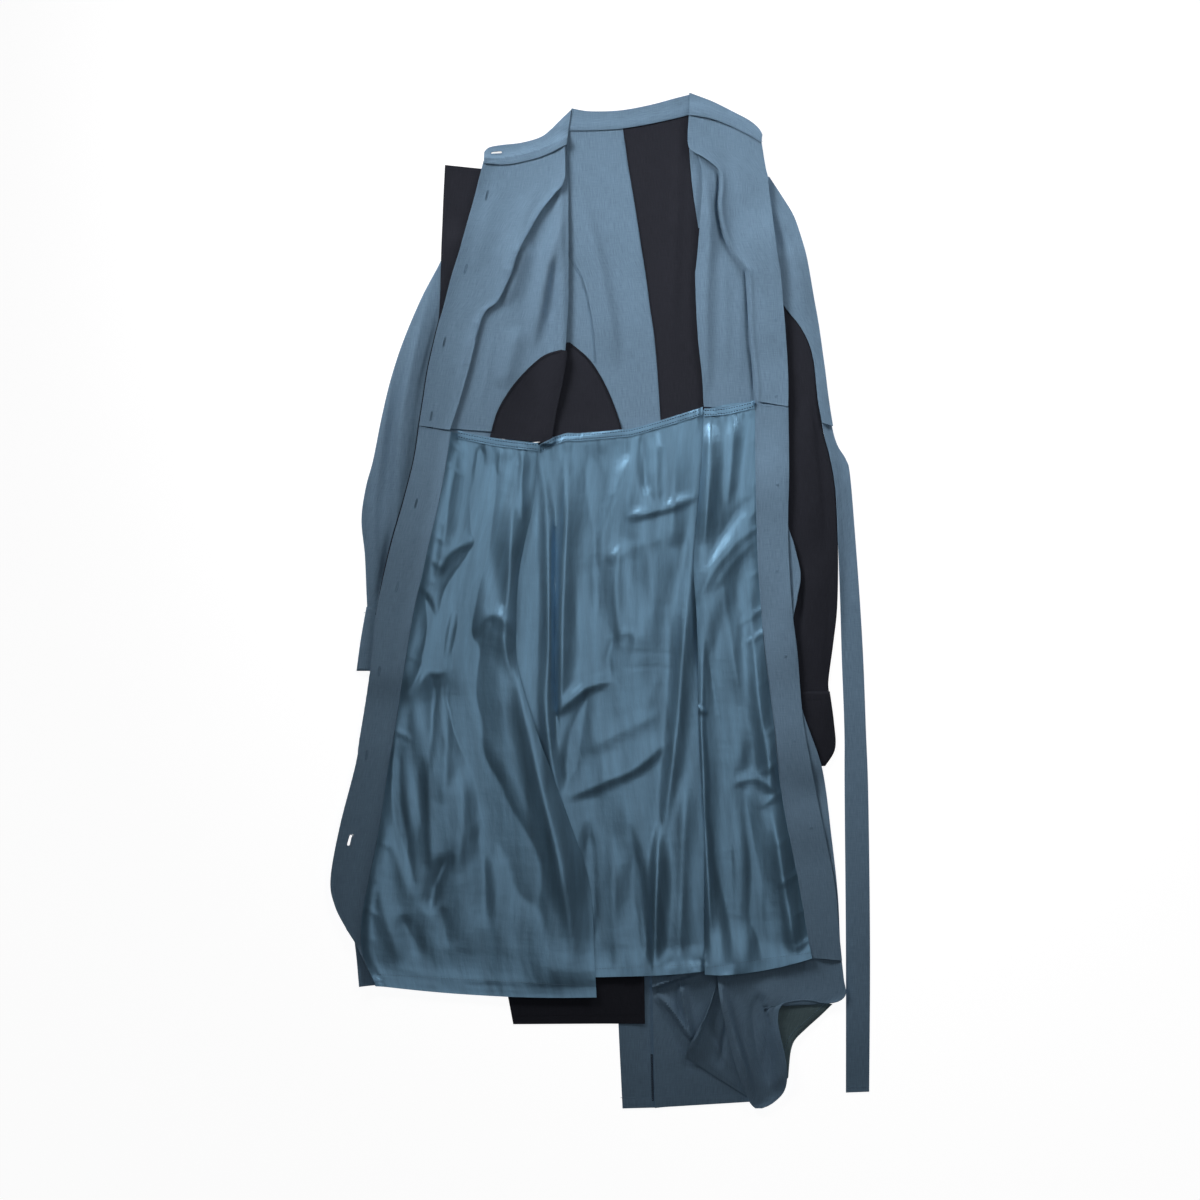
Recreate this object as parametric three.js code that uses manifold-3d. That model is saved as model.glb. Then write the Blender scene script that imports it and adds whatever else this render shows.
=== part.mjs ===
// Long-sleeved shirt dress, laid open on a flat surface with the inside of its fronts and back facing up.
//
// Units are millimetres. +Z is up from the surface, +Y runs to the collar and +X to the button side.
// The origin is the centre of the rectangle that the dress covers, on the surface.
//
// Every cloth piece is a wall of constant thickness over a grid between two edges, which run from the collar
// towards the hem. The pieces are laid on one another in layers, from the surface upwards. The pieces of one
// layer lie side by side, a seam gap apart. Each rests a seam gap above the highest cloth under it.

import * as THREE from "three";
import { mergeVertices } from "three/addons/utils/BufferGeometryUtils.js";
import Module from "manifold-3d";

// ---------------------------------------------------------------- driving sizes

const SHELL = 1.5; // thickness of the outer cloth, in the slate-blue and the black cloth
const LINING = 1.1; // thickness of the satin lining with its turned seams
const SEAM_GAP = 0.3; // space between neighbouring pieces and between layers

const BUTTON_RADIUS = 5.75;
const BUTTON_THICKNESS = 2.4;
const BUTTON_SIDES = 12;
const CUTTER_HEIGHT = 200; // more than any piece is high
const MERGE_WITHIN = 1e-4; // corners nearer than this are one corner
const COLLAR_SLOT = { length: 13, width: 2.4, tilt: 6, x: -124, y: 536.5 }; // open buttonhole
const SLEEVE_HEIGHT = 6; // a flattened sleeve: two walls and the air left between them
const CUFF_HEIGHT = 6.6;
const CASING_DEPTH = 8.5; // stitched tunnel along the waist edge of the lining

const CLOTH_BLUE = { color: 0x5b7488, roughness: 0.85, metalness: 0 };
const CLOTH_BLACK = { color: 0x1f2129, roughness: 0.8, metalness: 0 };
const CLOTH_SATIN = { color: 0x4c7084, roughness: 0.35, metalness: 0 };
const BUTTON_BLUE = { color: 0x34424f, roughness: 0.4, metalness: 0 };

// ---------------------------------------------------------------- tables

// Turns rows of numbers into objects with the named columns.
function table(columns, rows) {
  return rows.map((row) => Object.fromEntries(columns.map((name, i) => [name, row[i]])));
}

const SIDES = ["leftX", "leftY", "rightX", "rightY"];

// Left front above the waist: opening edge, loose edge of the facing, and the fold where it meets the back.
const LEFT_BODICE = table(
  ["outerX", "outerY", "facingX", "facingY", "foldX", "foldY"],
  [
    [-139.5, 526, -42, 550, -39, 550],
    [-146, 500, -42, 503, -38, 503],
    [-151, 480, -54, 485, -38, 482],
    [-157, 458, -72, 462, -38, 460],
    [-168, 418, -96, 418, -38, 420],
    [-177, 389, -106, 389, -38, 390],
    [-185, 358, -121, 358, -38, 358],
    [-189, 343, -136, 345, -39, 343],
    [-194, 326, -144, 326, -40, 324],
    [-205, 278, -156, 278, -44, 276],
    [-211, 240, -168, 236, -53, 232],
    [-216, 208, -179, 203, -61, 196],
  ],
);

// Right front above the waist, with the same three edges.
const RIGHT_BODICE = table(
  ["foldX", "foldY", "facingX", "facingY", "outerX", "outerY"],
  [
    [111, 575, 107, 589, 192.5, 555],
    [112, 550, 105, 560, 195, 539],
    [116, 536, 107, 540, 197, 526],
    [120, 522, 122, 530, 199, 515],
    [122, 512, 136, 520, 201, 507],
    [122, 502, 143, 511, 202, 498],
    [122, 488, 144, 494, 203, 486],
    [121, 470, 142, 471, 205, 470],
    [119, 443, 147, 443, 208, 443],
    [117, 419, 158, 419, 211, 419],
    [115, 399, 172, 399, 214, 399],
    [114, 384, 177, 386, 216, 386],
    [117, 318, 180, 318, 222, 318],
    [122, 270, 185, 270, 225, 268],
    [124, 231, 187, 238, 225, 231],
  ],
);

// Loose strip of the right front that runs on to its shoulder, beside the back.
const RIGHT_SHOULDER = table(SIDES, [
  [107, 541, 132, 541],
  [109, 512, 131, 512],
  [112, 485, 129, 485],
  [118, 446, 127, 446],
]);

// Back above the waist: its two sides and the seams between its panels, from the neck to the waist.
const BACK_BODICE = table(
  ["sideX", "sideY", "princessX", "princessY", "insetX", "insetY", "hiddenX", "hiddenY", "rightX", "rightY"],
  [
    [-56, 560, -36, 568, 27, 569, 114, 588, 120, 588],
    [-92, 520, -38, 520, 34, 520, 116, 524, 134, 528],
    [-108, 470, -38, 470, 42, 472, 117, 474, 146, 478],
    [-112, 418, -35, 418, 50, 420, 118, 422, 156, 426],
    [-113, 385, -20, 385, 55, 388, 119, 390, 160, 394],
    [-114, 348, -11, 348, 60, 350, 120, 356, 163, 360],
    [-114, 310, -6, 312, 65, 316, 121, 322, 165, 328],
    [-114, 262, -3, 266, 69, 272, 122, 282, 166, 290],
    [-114, 186, 2, 197, 73, 209, 124, 224, 168, 236],
  ],
);

// Left front below the waist: opening edge, seam of button stand and lining, and the lining's free side.
const LEFT_SKIRT = table(
  ["outerX", "outerY", "seamX", "seamY", "freeX", "freeY"],
  [
    [-216, 207.5, -178, 201, -75, 188],
    [-222, 168, -184, 160, -77, 146],
    [-234, 120, -193, 113, -82, 106],
    [-248, 71, -203, 71, -92, 62],
    [-259, 26, -213, 26, -99, 20],
    [-268, -18, -223, -18, -101, -30],
    [-275, -84, -234, -84, -98, -84],
    [-288, -165, -247, -165, -73, -165],
    [-293, -198, -253, -198, -60, -200],
    [-312, -272, -264, -272, -35, -270],
    [-323, -334, -276, -332, -16, -325],
    [-318, -366, -282, -362, -9, -372],
    [-304, -394, -286, -390, -7, -412],
    [-291, -414, -284, -424, -6, -440],
    [-281, -432, -268, -462, -4, -476],
  ],
);

// Right front below the waist.
const RIGHT_SKIRT = table(
  ["freeX", "freeY", "seamX", "seamY", "outerX", "outerY"],
  [
    [124, 226, 186, 236, 225, 230.5],
    [122, 167, 186, 167, 226, 167],
    [117, 104, 187, 104, 225, 104],
    [112, 44, 189, 44, 226, 50],
    [115, -10, 193, -14, 230, -12],
    [117, -66, 197, -66, 236, -66],
    [118, -144, 207, -144, 243, -144],
    [121, -200, 213, -206, 254, -206],
    [125, -275, 225, -275, 268, -275],
    [125, -340, 238, -340, 281, -338],
    [125, -395, 247, -392, 286, -392],
    [125, -447, 254, -429, 290, -432],
  ],
);

// Lining of the back skirt between its two hidden sides.
const BACK_LINING = table(SIDES, [
  [-112, 182, 150, 236],
  [-118, 60, 150, 80],
  [-122, -120, 152, -110],
  [-96, -300, 156, -290],
  [-60, -452, 160, -440],
]);

// Outer cloth of the back skirt: the black left panel, the slate-blue right panel and its vent strip.
const BACK_SKIRT_BLACK = table(SIDES, [
  [-112, 184, 53, 206],
  [-150, 60, 53, 60],
  [-172, -60, 53, -60],
  [-168, -200, 53, -200],
  [-158, -352, 53, -352],
  [-120, -440, 53, -440],
  [-104, -509, 54, -508],
]);
const BACK_SKIRT_BLUE = table(SIDES, [
  [53.3, 202, 170, 232],
  [53.3, 80, 200, 80],
  [54, -100, 218, -100],
  [57, -200, 222, -220],
  [60, -320, 220, -340],
  [62, -440, 210, -450],
  [63, -508, 196, -520],
  [65.5, -609, 172, -603],
]);
const VENT_FACING = table(SIDES, [
  [20, -440, 61.5, -440],
  [22, -506, 62.5, -506],
  [27, -610, 65, -609],
]);

// Outer cloth of the left front skirt, which shows only at its hem.
const LEFT_SHELL = table(
  ["outerX", "outerY", "colourX", "colourY", "innerX", "innerY"],
  [
    [-213, 204, -160, 196, -84, 186],
    [-240, 80, -176, 74, -96, 60],
    [-266, -70, -194, -76, -108, -84],
    [-286, -190, -206, -194, -84, -194],
    [-314, -325, -214, -328, -30, -320],
    [-296, -400, -218, -402, -24, -404],
    [-289, -464, -224, -458, -40, -452],
  ],
);

// Outer cloth of the right front skirt, from its ridge over the back to the button stand and round the hem.
const RIGHT_SHELL = table(SIDES, [
  [128, 222, 222, 228],
  [124, 100, 222, 100],
  [122, -20, 227, -20],
  [124, -120, 239, -120],
  [127, -200, 266, -202],
  [130, -280, 277, -280],
  [134, -352, 285, -352],
  [138, -410, 288, -412],
  [140, -448, 292, -452],
  [142, -468, 294, -474],
  [145, -485, 277, -483],
  [148, -499, 244, -479],
  [151, -512, 219, -484],
  [155, -527, 213, -500],
  [159, -543, 216, -522],
  [163, -558, 221, -545],
  [168, -574, 224, -570],
  [174, -590, 220, -590],
  [180, -603, 206, -604],
  [186, -609, 194, -609],
]);
const RIGHT_HEM_CURL = table(SIDES, [
  [200, -474, 279, -484.5],
  [204, -494, 263, -499],
  [208, -514, 246, -514],
  [214, -532, 233, -527],
  [219, -545, 228, -540],
  [222, -558, 226, -555],
  [223, -574, 224.6, -572],
]);
const RIGHT_HEM_TURN = table(SIDES, [
  [139, -458, 160, -466],
  [128, -490, 168, -503],
  [116, -513, 176, -540],
  [106, -533, 182, -573],
  [101, -547, 187, -602],
]);

// Sleeves, laid flat.
const LEFT_SLEEVE = table(SIDES, [
  [-180, 430, -117, 430],
  [-193, 402, -117, 402],
  [-214, 362, -118, 362],
  [-236, 310, -118, 310],
  [-251, 264, -119, 264],
  [-262, 218, -121, 218],
  [-272, 168, -126, 168],
  [-281, 134, -132, 134],
  [-286, 96, -140, 96],
  [-282, 54, -152, 54],
  [-280, 8, -166, 8],
  [-279, -10, -178, -10],
]);
const LEFT_CUFF = table(SIDES, [
  [-280, -11, -180, -11],
  [-287, -48, -184, -48],
  [-292, -85, -190, -85],
]);
const RIGHT_SLEEVE = table(SIDES, [
  [186, 412, 236, 412],
  [196, 354, 247, 354],
  [206, 280, 258, 280],
  [214, 204, 266.5, 204],
  [220, 142, 280.5, 142],
  [224, 94, 283.5, 94],
  [232, 48, 285.5, 48],
  [230, -5, 283.5, -5],
  [226, -50, 280, -50],
  [226, -96, 274, -96],
  [228, -112, 275, -112],
]);
const RIGHT_CUFF = table(SIDES, [
  [228, -113, 275.5, -113],
  [232, -146, 280.5, -146],
  [236, -178, 282, -178],
  [240, -199, 270, -199],
]);

// Slate-blue upper part of the right sleeve, down to its slanting seam with the black part.
const RIGHT_SLEEVE_TOP = table(SIDES, [
  [199, 508, 203, 508],
  [198, 484, 220, 482],
  [200, 462, 232, 462],
  [202, 440, 240, 440],
  [204, 410, 248, 410],
  [212, 372, 256, 364],
  [222, 350, 260.5, 340],
  [238, 330, 264, 318],
  [250, 308, 267, 296],
  [256, 285, 270, 274],
  [258.5, 262, 272.5, 252],
  [261, 238, 275.5, 230],
  [265.5, 212, 279, 208],
]);

// Black cloth behind the left front. Below its wide part a sliver shows along the button stand.
const LEFT_SHOULDER = table(SIDES, [
  [-186, 522, -128, 516],
  [-188.5, 470, -140, 466],
  [-190.5, 406, -152, 404],
  [-192.5, 345, -160, 345],
  [-198, 318, -176, 318],
  [-207, 278, -189, 278],
  [-213, 240, -196, 240],
  [-218, 208, -200, 208],
  [-224, 168, -206, 168],
  [-236, 120, -218, 120],
  [-250, 71, -232, 71],
  [-260.8, 26, -243, 26],
  [-269, -18, -252, -18],
]);

// Neck band, from its seam to its free top edge. The seam overlaps the panels that it is sewn to.
const NECK = ["seamX", "seamY", "topX", "topY"];
const COLLAR_LEFT = table(NECK, [
  [-139, 523, -139, 537],
  [-130, 522, -133, 543],
  [-108, 522, -118, 546],
  [-80, 528, -93, 549],
  [-60, 535, -68, 557],
  [-48, 541, -49, 574],
  [-40, 545, -34, 588.5],
]);
const COLLAR_BACK = table(NECK, [
  [-46, 563, -34, 590],
  [-12, 563, -12, 586.5],
  [24, 565, 24, 587.5],
  [60, 571, 60, 593],
  [88, 577, 90, 602],
  [112, 583, 110, 607],
]);
const COLLAR_RIGHT = table(NECK, [
  [107, 580, 106, 610],
  [133, 576, 133, 599],
  [157, 567, 157, 587],
  [177, 557, 179, 575],
  [187, 551, 190, 565],
  [193.5, 547, 194, 556],
]);

// Waist edge of the linings, where the casings lie.
const LEFT_WAIST = table(["x", "y"], [[-170, 202.5], [-122, 193], [-74, 187.5]]);
const BACK_WAIST = table(["x", "y"], [[-72, 186], [-44, 199], [-24, 200], [24, 204], [48, 208], [123, 231]]);
const RIGHT_WAIST = table(["x", "y"], [[124.5, 229], [150, 231], [185, 239]]);

// Half-round patch at the waist, in two parts: one on the back and one on the left front.
const PATCH_BACK = table(SIDES, [
  [-40, 309, -36, 309],
  [-50, 285, -12, 288],
  [-56, 260, 6, 259],
  [-62, 230, 19, 228],
  [-66, 196, 28, 199],
]);
const PATCH_FRONT = table(SIDES, [
  [-46, 299, -42, 298],
  [-70, 291, -44, 280],
  [-100, 262, -49, 252],
  [-122, 228, -55, 224],
  [-132, 194, -61, 188],
]);

// Tie belt, from its start behind the right sleeve to its free end.
const BELT = table(SIDES, [
  [261.5, 262, 270.5, 264],
  [265, 232, 274, 230],
  [268, 203, 283, 190],
  [276.5, 170, 295, 169],
  [283, 130, 300, 150],
  [286, 60, 306, 79],
  [288, -7, 312, -4],
  [290, -70, 316, -74],
  [293, -154, 319, -154],
  [293.5, -240, 322, -240],
  [295, -420, 324, -420],
  [295, -591, 323, -590],
]);

// Folds of a piece: the two ends of each ridge, its half width and its height.
const FOLD = ["x0", "y0", "x1", "y1", "half", "height"];
const FOLDS = {
  leftFront: table(FOLD, [
    [-54, 500, -56, 270, 18, 11],
    [-84, 430, -104, 300, 18, 5],
  ]),
  leftFacing: table(FOLD, [[-110, 420, -140, 330, 26, 3]]),
  rightFront: table(FOLD, [
    [136, 500, 132, 300, 18, 8],
    [160, 400, 158, 280, 18, 3],
  ]),
  rightFacing: table(FOLD, [[166, 540, 180, 320, 26, 4]]),
  leftLining: table(FOLD, [
    [-94, 125, -120, 30, 18, 10],
    [-120, 60, -152, -150, 22, 10],
    [-158, 135, -178, 60, 20, 5],
    [-176, 20, -196, -140, 22, 6],
    [-106, 0, -112, -100, 16, 6],
    [-88, -130, -26, -440, 20, 9],
    [-150, -220, -120, -460, 26, 6],
    [-215, -210, -236, -400, 26, 5],
    [-176, -330, -196, -470, 24, 5],
    [-60, -360, -50, -480, 18, 7],
  ]),
  backLining: table(FOLD, [
    [-40, 160, -36, -130, 16, 8],
    [-4, 160, -8, 50, 18, 4],
    [32, 165, 0, 70, 18, 5],
    [86, 170, 92, 30, 18, 5],
    [30, 60, 8, -60, 22, 4],
    [84, 20, 92, -420, 20, 6],
    [40, -60, 52, -240, 22, 3],
    [14, -220, 12, -450, 20, 5],
  ]),
  rightLining: table(FOLD, [
    [138, 190, 132, 30, 16, 6],
    [174, 110, 128, 10, 16, 6],
    [186, 60, 144, -50, 16, 4],
    [138, -40, 142, -430, 18, 7],
    [186, -120, 206, -410, 20, 5],
    [160, -260, 172, -440, 20, 5],
  ]),
  rightShell: table(FOLD, [
    [154, -465, 184, -585, 20, 10],
    [204, -500, 202, -570, 22, 6],
  ]),
  backHem: table(FOLD, [
    [80, -464, 122, -454, 14, 6],
    [92, -474, 110, -520, 14, 5],
  ]),
  rightSleeve: table(FOLD, [[236, 440, 250, 350, 16, 3]]),
};

// Buttons on the outer side of the right button stand, from the collar down, and how far the cloth above
// holds each of them off what lies below.
const BUTTONS = table(
  ["x", "y", "lift"],
  [
    [184, 551, 0],
    [188, 506, 0],
    [199, 420, 0],
    [210, 335, 0],
    [211, 244, 0],
    [212, 138, 0],
    [212, 35, 0],
    [222, -67, 0],
    [233, -168, 0],
    [253, -272, 2.7],
  ],
);

// ---------------------------------------------------------------- the pile of cloth

// The height at which the next layer may lie, on square cells over the whole surface.
const CELL = 3;
const FLAT_AREA = 1e-6; // a triangle that is smaller than this from above is left out
const CELL_REACH = CELL * Math.SQRT1_2; // from a cell's centre to its corner
const PILE_HALF_X = 345;
const PILE_HALF_Y = 630;
const COLUMNS = Math.ceil((2 * PILE_HALF_X) / CELL);
const ROWS = Math.ceil((2 * PILE_HALF_Y) / CELL);
const pile = new Float32Array(COLUMNS * ROWS);

// Visits each cell that a triangle touches, with the height of the triangle's plane at the cell's centre
// and the plane's slope.
function overCells(a, b, c, visit) {
  const area = (b.x - a.x) * (c.y - a.y) - (b.y - a.y) * (c.x - a.x);
  if (Math.abs(area) < FLAT_AREA) return;
  const low = a.clone().min(b).min(c);
  const high = a.clone().max(b).max(c);
  const columnOf = (x) => THREE.MathUtils.clamp(Math.floor((x + PILE_HALF_X) / CELL), 0, COLUMNS - 1);
  const rowOf = (y) => THREE.MathUtils.clamp(Math.floor((y + PILE_HALF_Y) / CELL), 0, ROWS - 1);
  const span = (p, q) => Math.hypot(q.x - p.x, q.y - p.y);
  const slackA = (CELL_REACH * span(b, c)) / Math.abs(area);
  const slackB = (CELL_REACH * span(a, c)) / Math.abs(area);
  const slackC = (CELL_REACH * span(a, b)) / Math.abs(area);
  const slopeX = ((b.z - a.z) * (c.y - a.y) - (c.z - a.z) * (b.y - a.y)) / area;
  const slopeY = ((c.z - a.z) * (b.x - a.x) - (b.z - a.z) * (c.x - a.x)) / area;
  for (let r = rowOf(low.y - CELL); r <= rowOf(high.y + CELL); r++)
    for (let q = columnOf(low.x - CELL); q <= columnOf(high.x + CELL); q++) {
      const x = (q + 0.5) * CELL - PILE_HALF_X;
      const y = (r + 0.5) * CELL - PILE_HALF_Y;
      const wb = ((x - a.x) * (c.y - a.y) - (y - a.y) * (c.x - a.x)) / area;
      const wc = ((b.x - a.x) * (y - a.y) - (b.y - a.y) * (x - a.x)) / area;
      if (1 - wb - wc < -slackA || wb < -slackB || wc < -slackC) continue;
      const z = a.z + wb * (b.z - a.z) + wc * (c.z - a.z) + Math.hypot(slopeX, slopeY) * CELL_REACH;
      visit(r * COLUMNS + q, THREE.MathUtils.clamp(z, low.z, high.z));
    }
}

function raisePile(a, b, c) {
  overCells(a, b, c, (cell, z) => {
    pile[cell] = Math.max(pile[cell], z + SEAM_GAP);
  });
}

function highestUnder(a, b, c) {
  let highest = 0;
  overCells(a, b, c, (cell) => {
    highest = Math.max(highest, pile[cell]);
  });
  return highest;
}

// ---------------------------------------------------------------- cloth

// Smooth curve down one edge of a table, moved sideways by a nudge.
function edge(rows, name, nudge = 0) {
  return new THREE.SplineCurve(rows.map((r) => new THREE.Vector2(r[`${name}X`] + nudge, r[`${name}Y`])));
}

// Height of a set of ridges at a point: each is a raised cosine across, and dies out past its ends.
function foldHeight(folds, x, y) {
  let height = 0;
  for (const f of folds) {
    const along = new THREE.Vector2(f.x1 - f.x0, f.y1 - f.y0);
    const length = along.length();
    along.divideScalar(length);
    const s = (x - f.x0) * along.x + (y - f.y0) * along.y;
    const t = Math.abs((x - f.x0) * along.y - (y - f.y0) * along.x);
    const past = Math.max(-s, s - length, 0) / (2 * f.half);
    if (t >= f.half || past >= 1) continue;
    const across = 0.5 + 0.5 * Math.cos((Math.PI * t) / f.half);
    height = Math.max(height, f.height * across * (1 - past * past));
  }
  return height;
}

// Grid of points between two edges. Its first row bows up by the first rise and its last by the second.
function spread({ left, right, across, down, bow = [0, 0] }) {
  const grid = [];
  for (let j = 0; j <= down; j++) {
    const a = left.getPoint(j / down);
    const b = right.getPoint(j / down);
    const rise = bow[0] * Math.max(0, 1 - (3 * j) / down) + bow[1] * Math.max(0, (3 * j) / down - 2);
    for (let i = 0; i <= across; i++) {
      const u = i / across;
      grid.push(new THREE.Vector3(a.x + (b.x - a.x) * u, a.y + (b.y - a.y) * u + rise * 4 * u * (1 - u), 0));
    }
  }
  return grid;
}

// The two triangles of each cell of a grid.
function triangles({ across, down }) {
  const faces = [];
  for (let j = 0; j < down; j++)
    for (let i = 0; i < across; i++) {
      const a = j * (across + 1) + i;
      faces.push([a, a + across + 1, a + across + 2], [a, a + across + 2, a + 1]);
    }
  return faces;
}

// Rests a grid on the pile, evens out the slack between its points and raises its folds.
const SETTLE_STEPS = 5;
function settle(grid, { across, down, folds = [] }) {
  const floor = grid.map(() => 0);
  const faces = triangles({ across, down });
  for (const face of faces) {
    const highest = highestUnder(...face.map((k) => grid[k]));
    for (const k of face) floor[k] = Math.max(floor[k], highest);
  }
  const near = grid.map(() => new Set());
  for (const face of faces) for (const k of face) for (const m of face) if (m !== k) near[k].add(m);
  let heights = floor;
  for (let step = 0; step < SETTLE_STEPS; step++) {
    heights = heights.map((z, k) => {
      const mean = [...near[k]].reduce((sum, m) => sum + heights[m], 0) / near[k].size;
      return Math.max(floor[k], (z + mean) / 2);
    });
  }
  grid.forEach((p, k) => {
    p.z = heights[k] + foldHeight(folds, p.x, p.y);
  });
}

// Closed wall over a grid, from its underside up by the thickness.
function wall(grid, { across, down, thickness = SHELL }) {
  const count = grid.length;
  const positions = [0, thickness].flatMap((lift) => grid.flatMap((p) => [p.x, p.y, p.z + lift]));
  const index = [];
  for (const [a, b, c] of triangles({ across, down })) index.push(a + count, b + count, c + count, a, c, b);
  const rim = [];
  const id = (i, j) => j * (across + 1) + i;
  for (let j = 0; j < down; j++) rim.push(id(0, j));
  for (let i = 0; i < across; i++) rim.push(id(i, down));
  for (let j = down; j > 0; j--) rim.push(id(across, j));
  for (let i = across; i > 0; i--) rim.push(id(i, 0));
  rim.forEach((a, k) => {
    const b = rim[(k + 1) % rim.length];
    index.push(a, b, b + count, a, b + count, a + count);
  });
  return meshData(positions, index);
}

function meshData(positions, index) {
  const geometry = new THREE.BufferGeometry();
  geometry.setAttribute("position", new THREE.Float32BufferAttribute(positions, 3));
  geometry.setIndex(index);
  return geometry;
}

const dress = new THREE.Group();

function addPiece(name, geometry, finish) {
  geometry.computeVertexNormals();
  const mesh = new THREE.Mesh(geometry, new THREE.MeshStandardMaterial(finish));
  mesh.name = name;
  dress.add(mesh);
}

// Lays cloth pieces side by side on the pile.
function layer(pieces) {
  const grids = pieces.map((piece) => {
    const grid = spread(piece);
    settle(grid, piece);
    return grid;
  });
  pieces.forEach((piece, n) => {
    const grid = grids[n];
    const geometry = wall(grid, piece);
    addPiece(piece.name, piece.cut ? piece.cut(geometry) : geometry, piece.finish);
    const top = grid.map((p) => new THREE.Vector3(p.x, p.y, p.z + (piece.thickness ?? SHELL)));
    for (const face of triangles(piece)) raisePile(...face.map((k) => top[k]));
  });
}

// A sleeve or cuff laid flat on the surface, open at both ends: an outer and an inner loop at each height.
const LOOP = 12;
function flatTube(name, rows, { down, height, finish }) {
  const left = edge(rows, "left");
  const right = edge(rows, "right");
  const squared = (value) => Math.sign(value) * Math.sqrt(Math.abs(value));
  const positions = [];
  for (let j = 0; j <= down; j++) {
    const a = left.getPoint(j / down);
    const b = right.getPoint(j / down);
    for (const inset of [0, SHELL])
      for (let k = 0; k < LOOP; k++) {
        const angle = (2 * Math.PI * k) / LOOP;
        const x = (a.x + b.x) / 2 + ((b.x - a.x) / 2 - inset) * squared(Math.cos(angle));
        positions.push(x, (a.y + b.y) / 2, height / 2 + (height / 2 - inset) * squared(Math.sin(angle)));
      }
  }
  const index = [];
  const id = (j, shell, k) => (j * 2 + shell) * LOOP + (k % LOOP);
  const quad = (a, b, c, d) => index.push(a, c, b, a, d, c);
  for (let k = 0; k < LOOP; k++) {
    for (let j = 0; j < down; j++) {
      quad(id(j, 0, k), id(j + 1, 0, k), id(j + 1, 0, k + 1), id(j, 0, k + 1));
      quad(id(j, 1, k), id(j, 1, k + 1), id(j + 1, 1, k + 1), id(j + 1, 1, k));
    }
    quad(id(0, 0, k), id(0, 0, k + 1), id(0, 1, k + 1), id(0, 1, k));
    quad(id(down, 0, k), id(down, 1, k), id(down, 1, k + 1), id(down, 0, k + 1));
  }
  addPiece(name, meshData(positions, index), finish);
  const flat = { left, right, across: 2, down };
  const top = spread(flat).map((p) => p.setZ(height));
  for (const face of triangles(flat)) raisePile(...face.map((k) => top[k]));
}

// ---------------------------------------------------------------- sleeves, belt and back

const HALF_GAP = SEAM_GAP / 2;

function addSleeves() {
  flatTube("left_sleeve", LEFT_SLEEVE, { down: 9, height: SLEEVE_HEIGHT, finish: CLOTH_BLUE });
  flatTube("left_cuff", LEFT_CUFF, { down: 2, height: CUFF_HEIGHT, finish: CLOTH_BLUE });
  flatTube("right_sleeve_black", RIGHT_SLEEVE, { down: 11, height: SLEEVE_HEIGHT, finish: CLOTH_BLACK });
  flatTube("right_cuff", RIGHT_CUFF, { down: 3, height: CUFF_HEIGHT, finish: CLOTH_BLACK });
}

// What lies on the surface itself beside the sleeves.
function addBottomLayer() {
  const belt = { left: edge(BELT, "left"), right: edge(BELT, "right") };
  const back = (name, from, to) => ({
    name,
    left: edge(BACK_BODICE, from, HALF_GAP),
    right: edge(BACK_BODICE, to, -HALF_GAP),
    down: 9,
  });
  const vent = { left: edge(VENT_FACING, "left"), right: edge(VENT_FACING, "right", -SEAM_GAP) };
  const skirt = { left: edge(BACK_SKIRT_BLUE, "left", SEAM_GAP), right: edge(BACK_SKIRT_BLUE, "right") };
  layer([
    { ...back("back_side_left", "side", "princess"), across: 2, finish: CLOTH_BLUE },
    { ...back("back_centre", "princess", "inset"), across: 2, finish: CLOTH_BLUE },
    { ...back("back_inset", "inset", "hidden"), across: 2, finish: CLOTH_BLACK },
    { ...back("back_side_right", "hidden", "right"), across: 1, finish: CLOTH_BLACK },
    { name: "back_vent_facing", ...vent, across: 1, down: 3, finish: CLOTH_BLUE },
    { name: "back_skirt_blue", ...skirt, across: 6, down: 20, finish: CLOTH_BLUE, folds: FOLDS.backHem },
    { name: "tie_belt", ...belt, across: 1, down: 26, finish: CLOTH_BLUE },
  ]);
}

// Pieces that lie partly on the sleeves.
function addLowerLayers() {
  const sides = (rows) => ({ left: edge(rows, "left"), right: edge(rows, "right") });
  layer([
    { name: "left_shoulder_panel", ...sides(LEFT_SHOULDER), across: 2, down: 20, finish: CLOTH_BLACK },
    {
      name: "right_sleeve_blue",
      ...sides(RIGHT_SLEEVE_TOP),
      across: 3,
      down: 12,
      finish: CLOTH_BLUE,
      folds: FOLDS.rightSleeve,
    },
    { name: "back_skirt_black", ...sides(BACK_SKIRT_BLACK), across: 4, down: 12, finish: CLOTH_BLACK },
  ]);
  layer([
    { name: "waist_patch_back", ...sides(PATCH_BACK), across: 3, down: 6, finish: CLOTH_BLACK },
    {
      name: "back_neck_band",
      left: edge(COLLAR_BACK, "seam"),
      right: edge(COLLAR_BACK, "top"),
      across: 2,
      down: 8,
      finish: CLOTH_BLUE,
    },
    { name: "right_shoulder_strip", ...sides(RIGHT_SHOULDER), across: 1, down: 4, finish: CLOTH_BLUE },
    { name: "right_hem_curl", ...sides(RIGHT_HEM_CURL), across: 2, down: 6, finish: CLOTH_BLUE },
    { name: "right_hem_turn", ...sides(RIGHT_HEM_TURN), across: 3, down: 8, finish: CLOTH_BLUE },
  ]);
  layer([
    {
      name: "back_lining",
      ...sides(BACK_LINING),
      across: 13,
      down: 24,
      finish: CLOTH_SATIN,
      thickness: LINING,
      folds: FOLDS.backLining,
      bow: [-8, -4],
    },
  ]);
}

// ---------------------------------------------------------------- fronts

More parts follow.
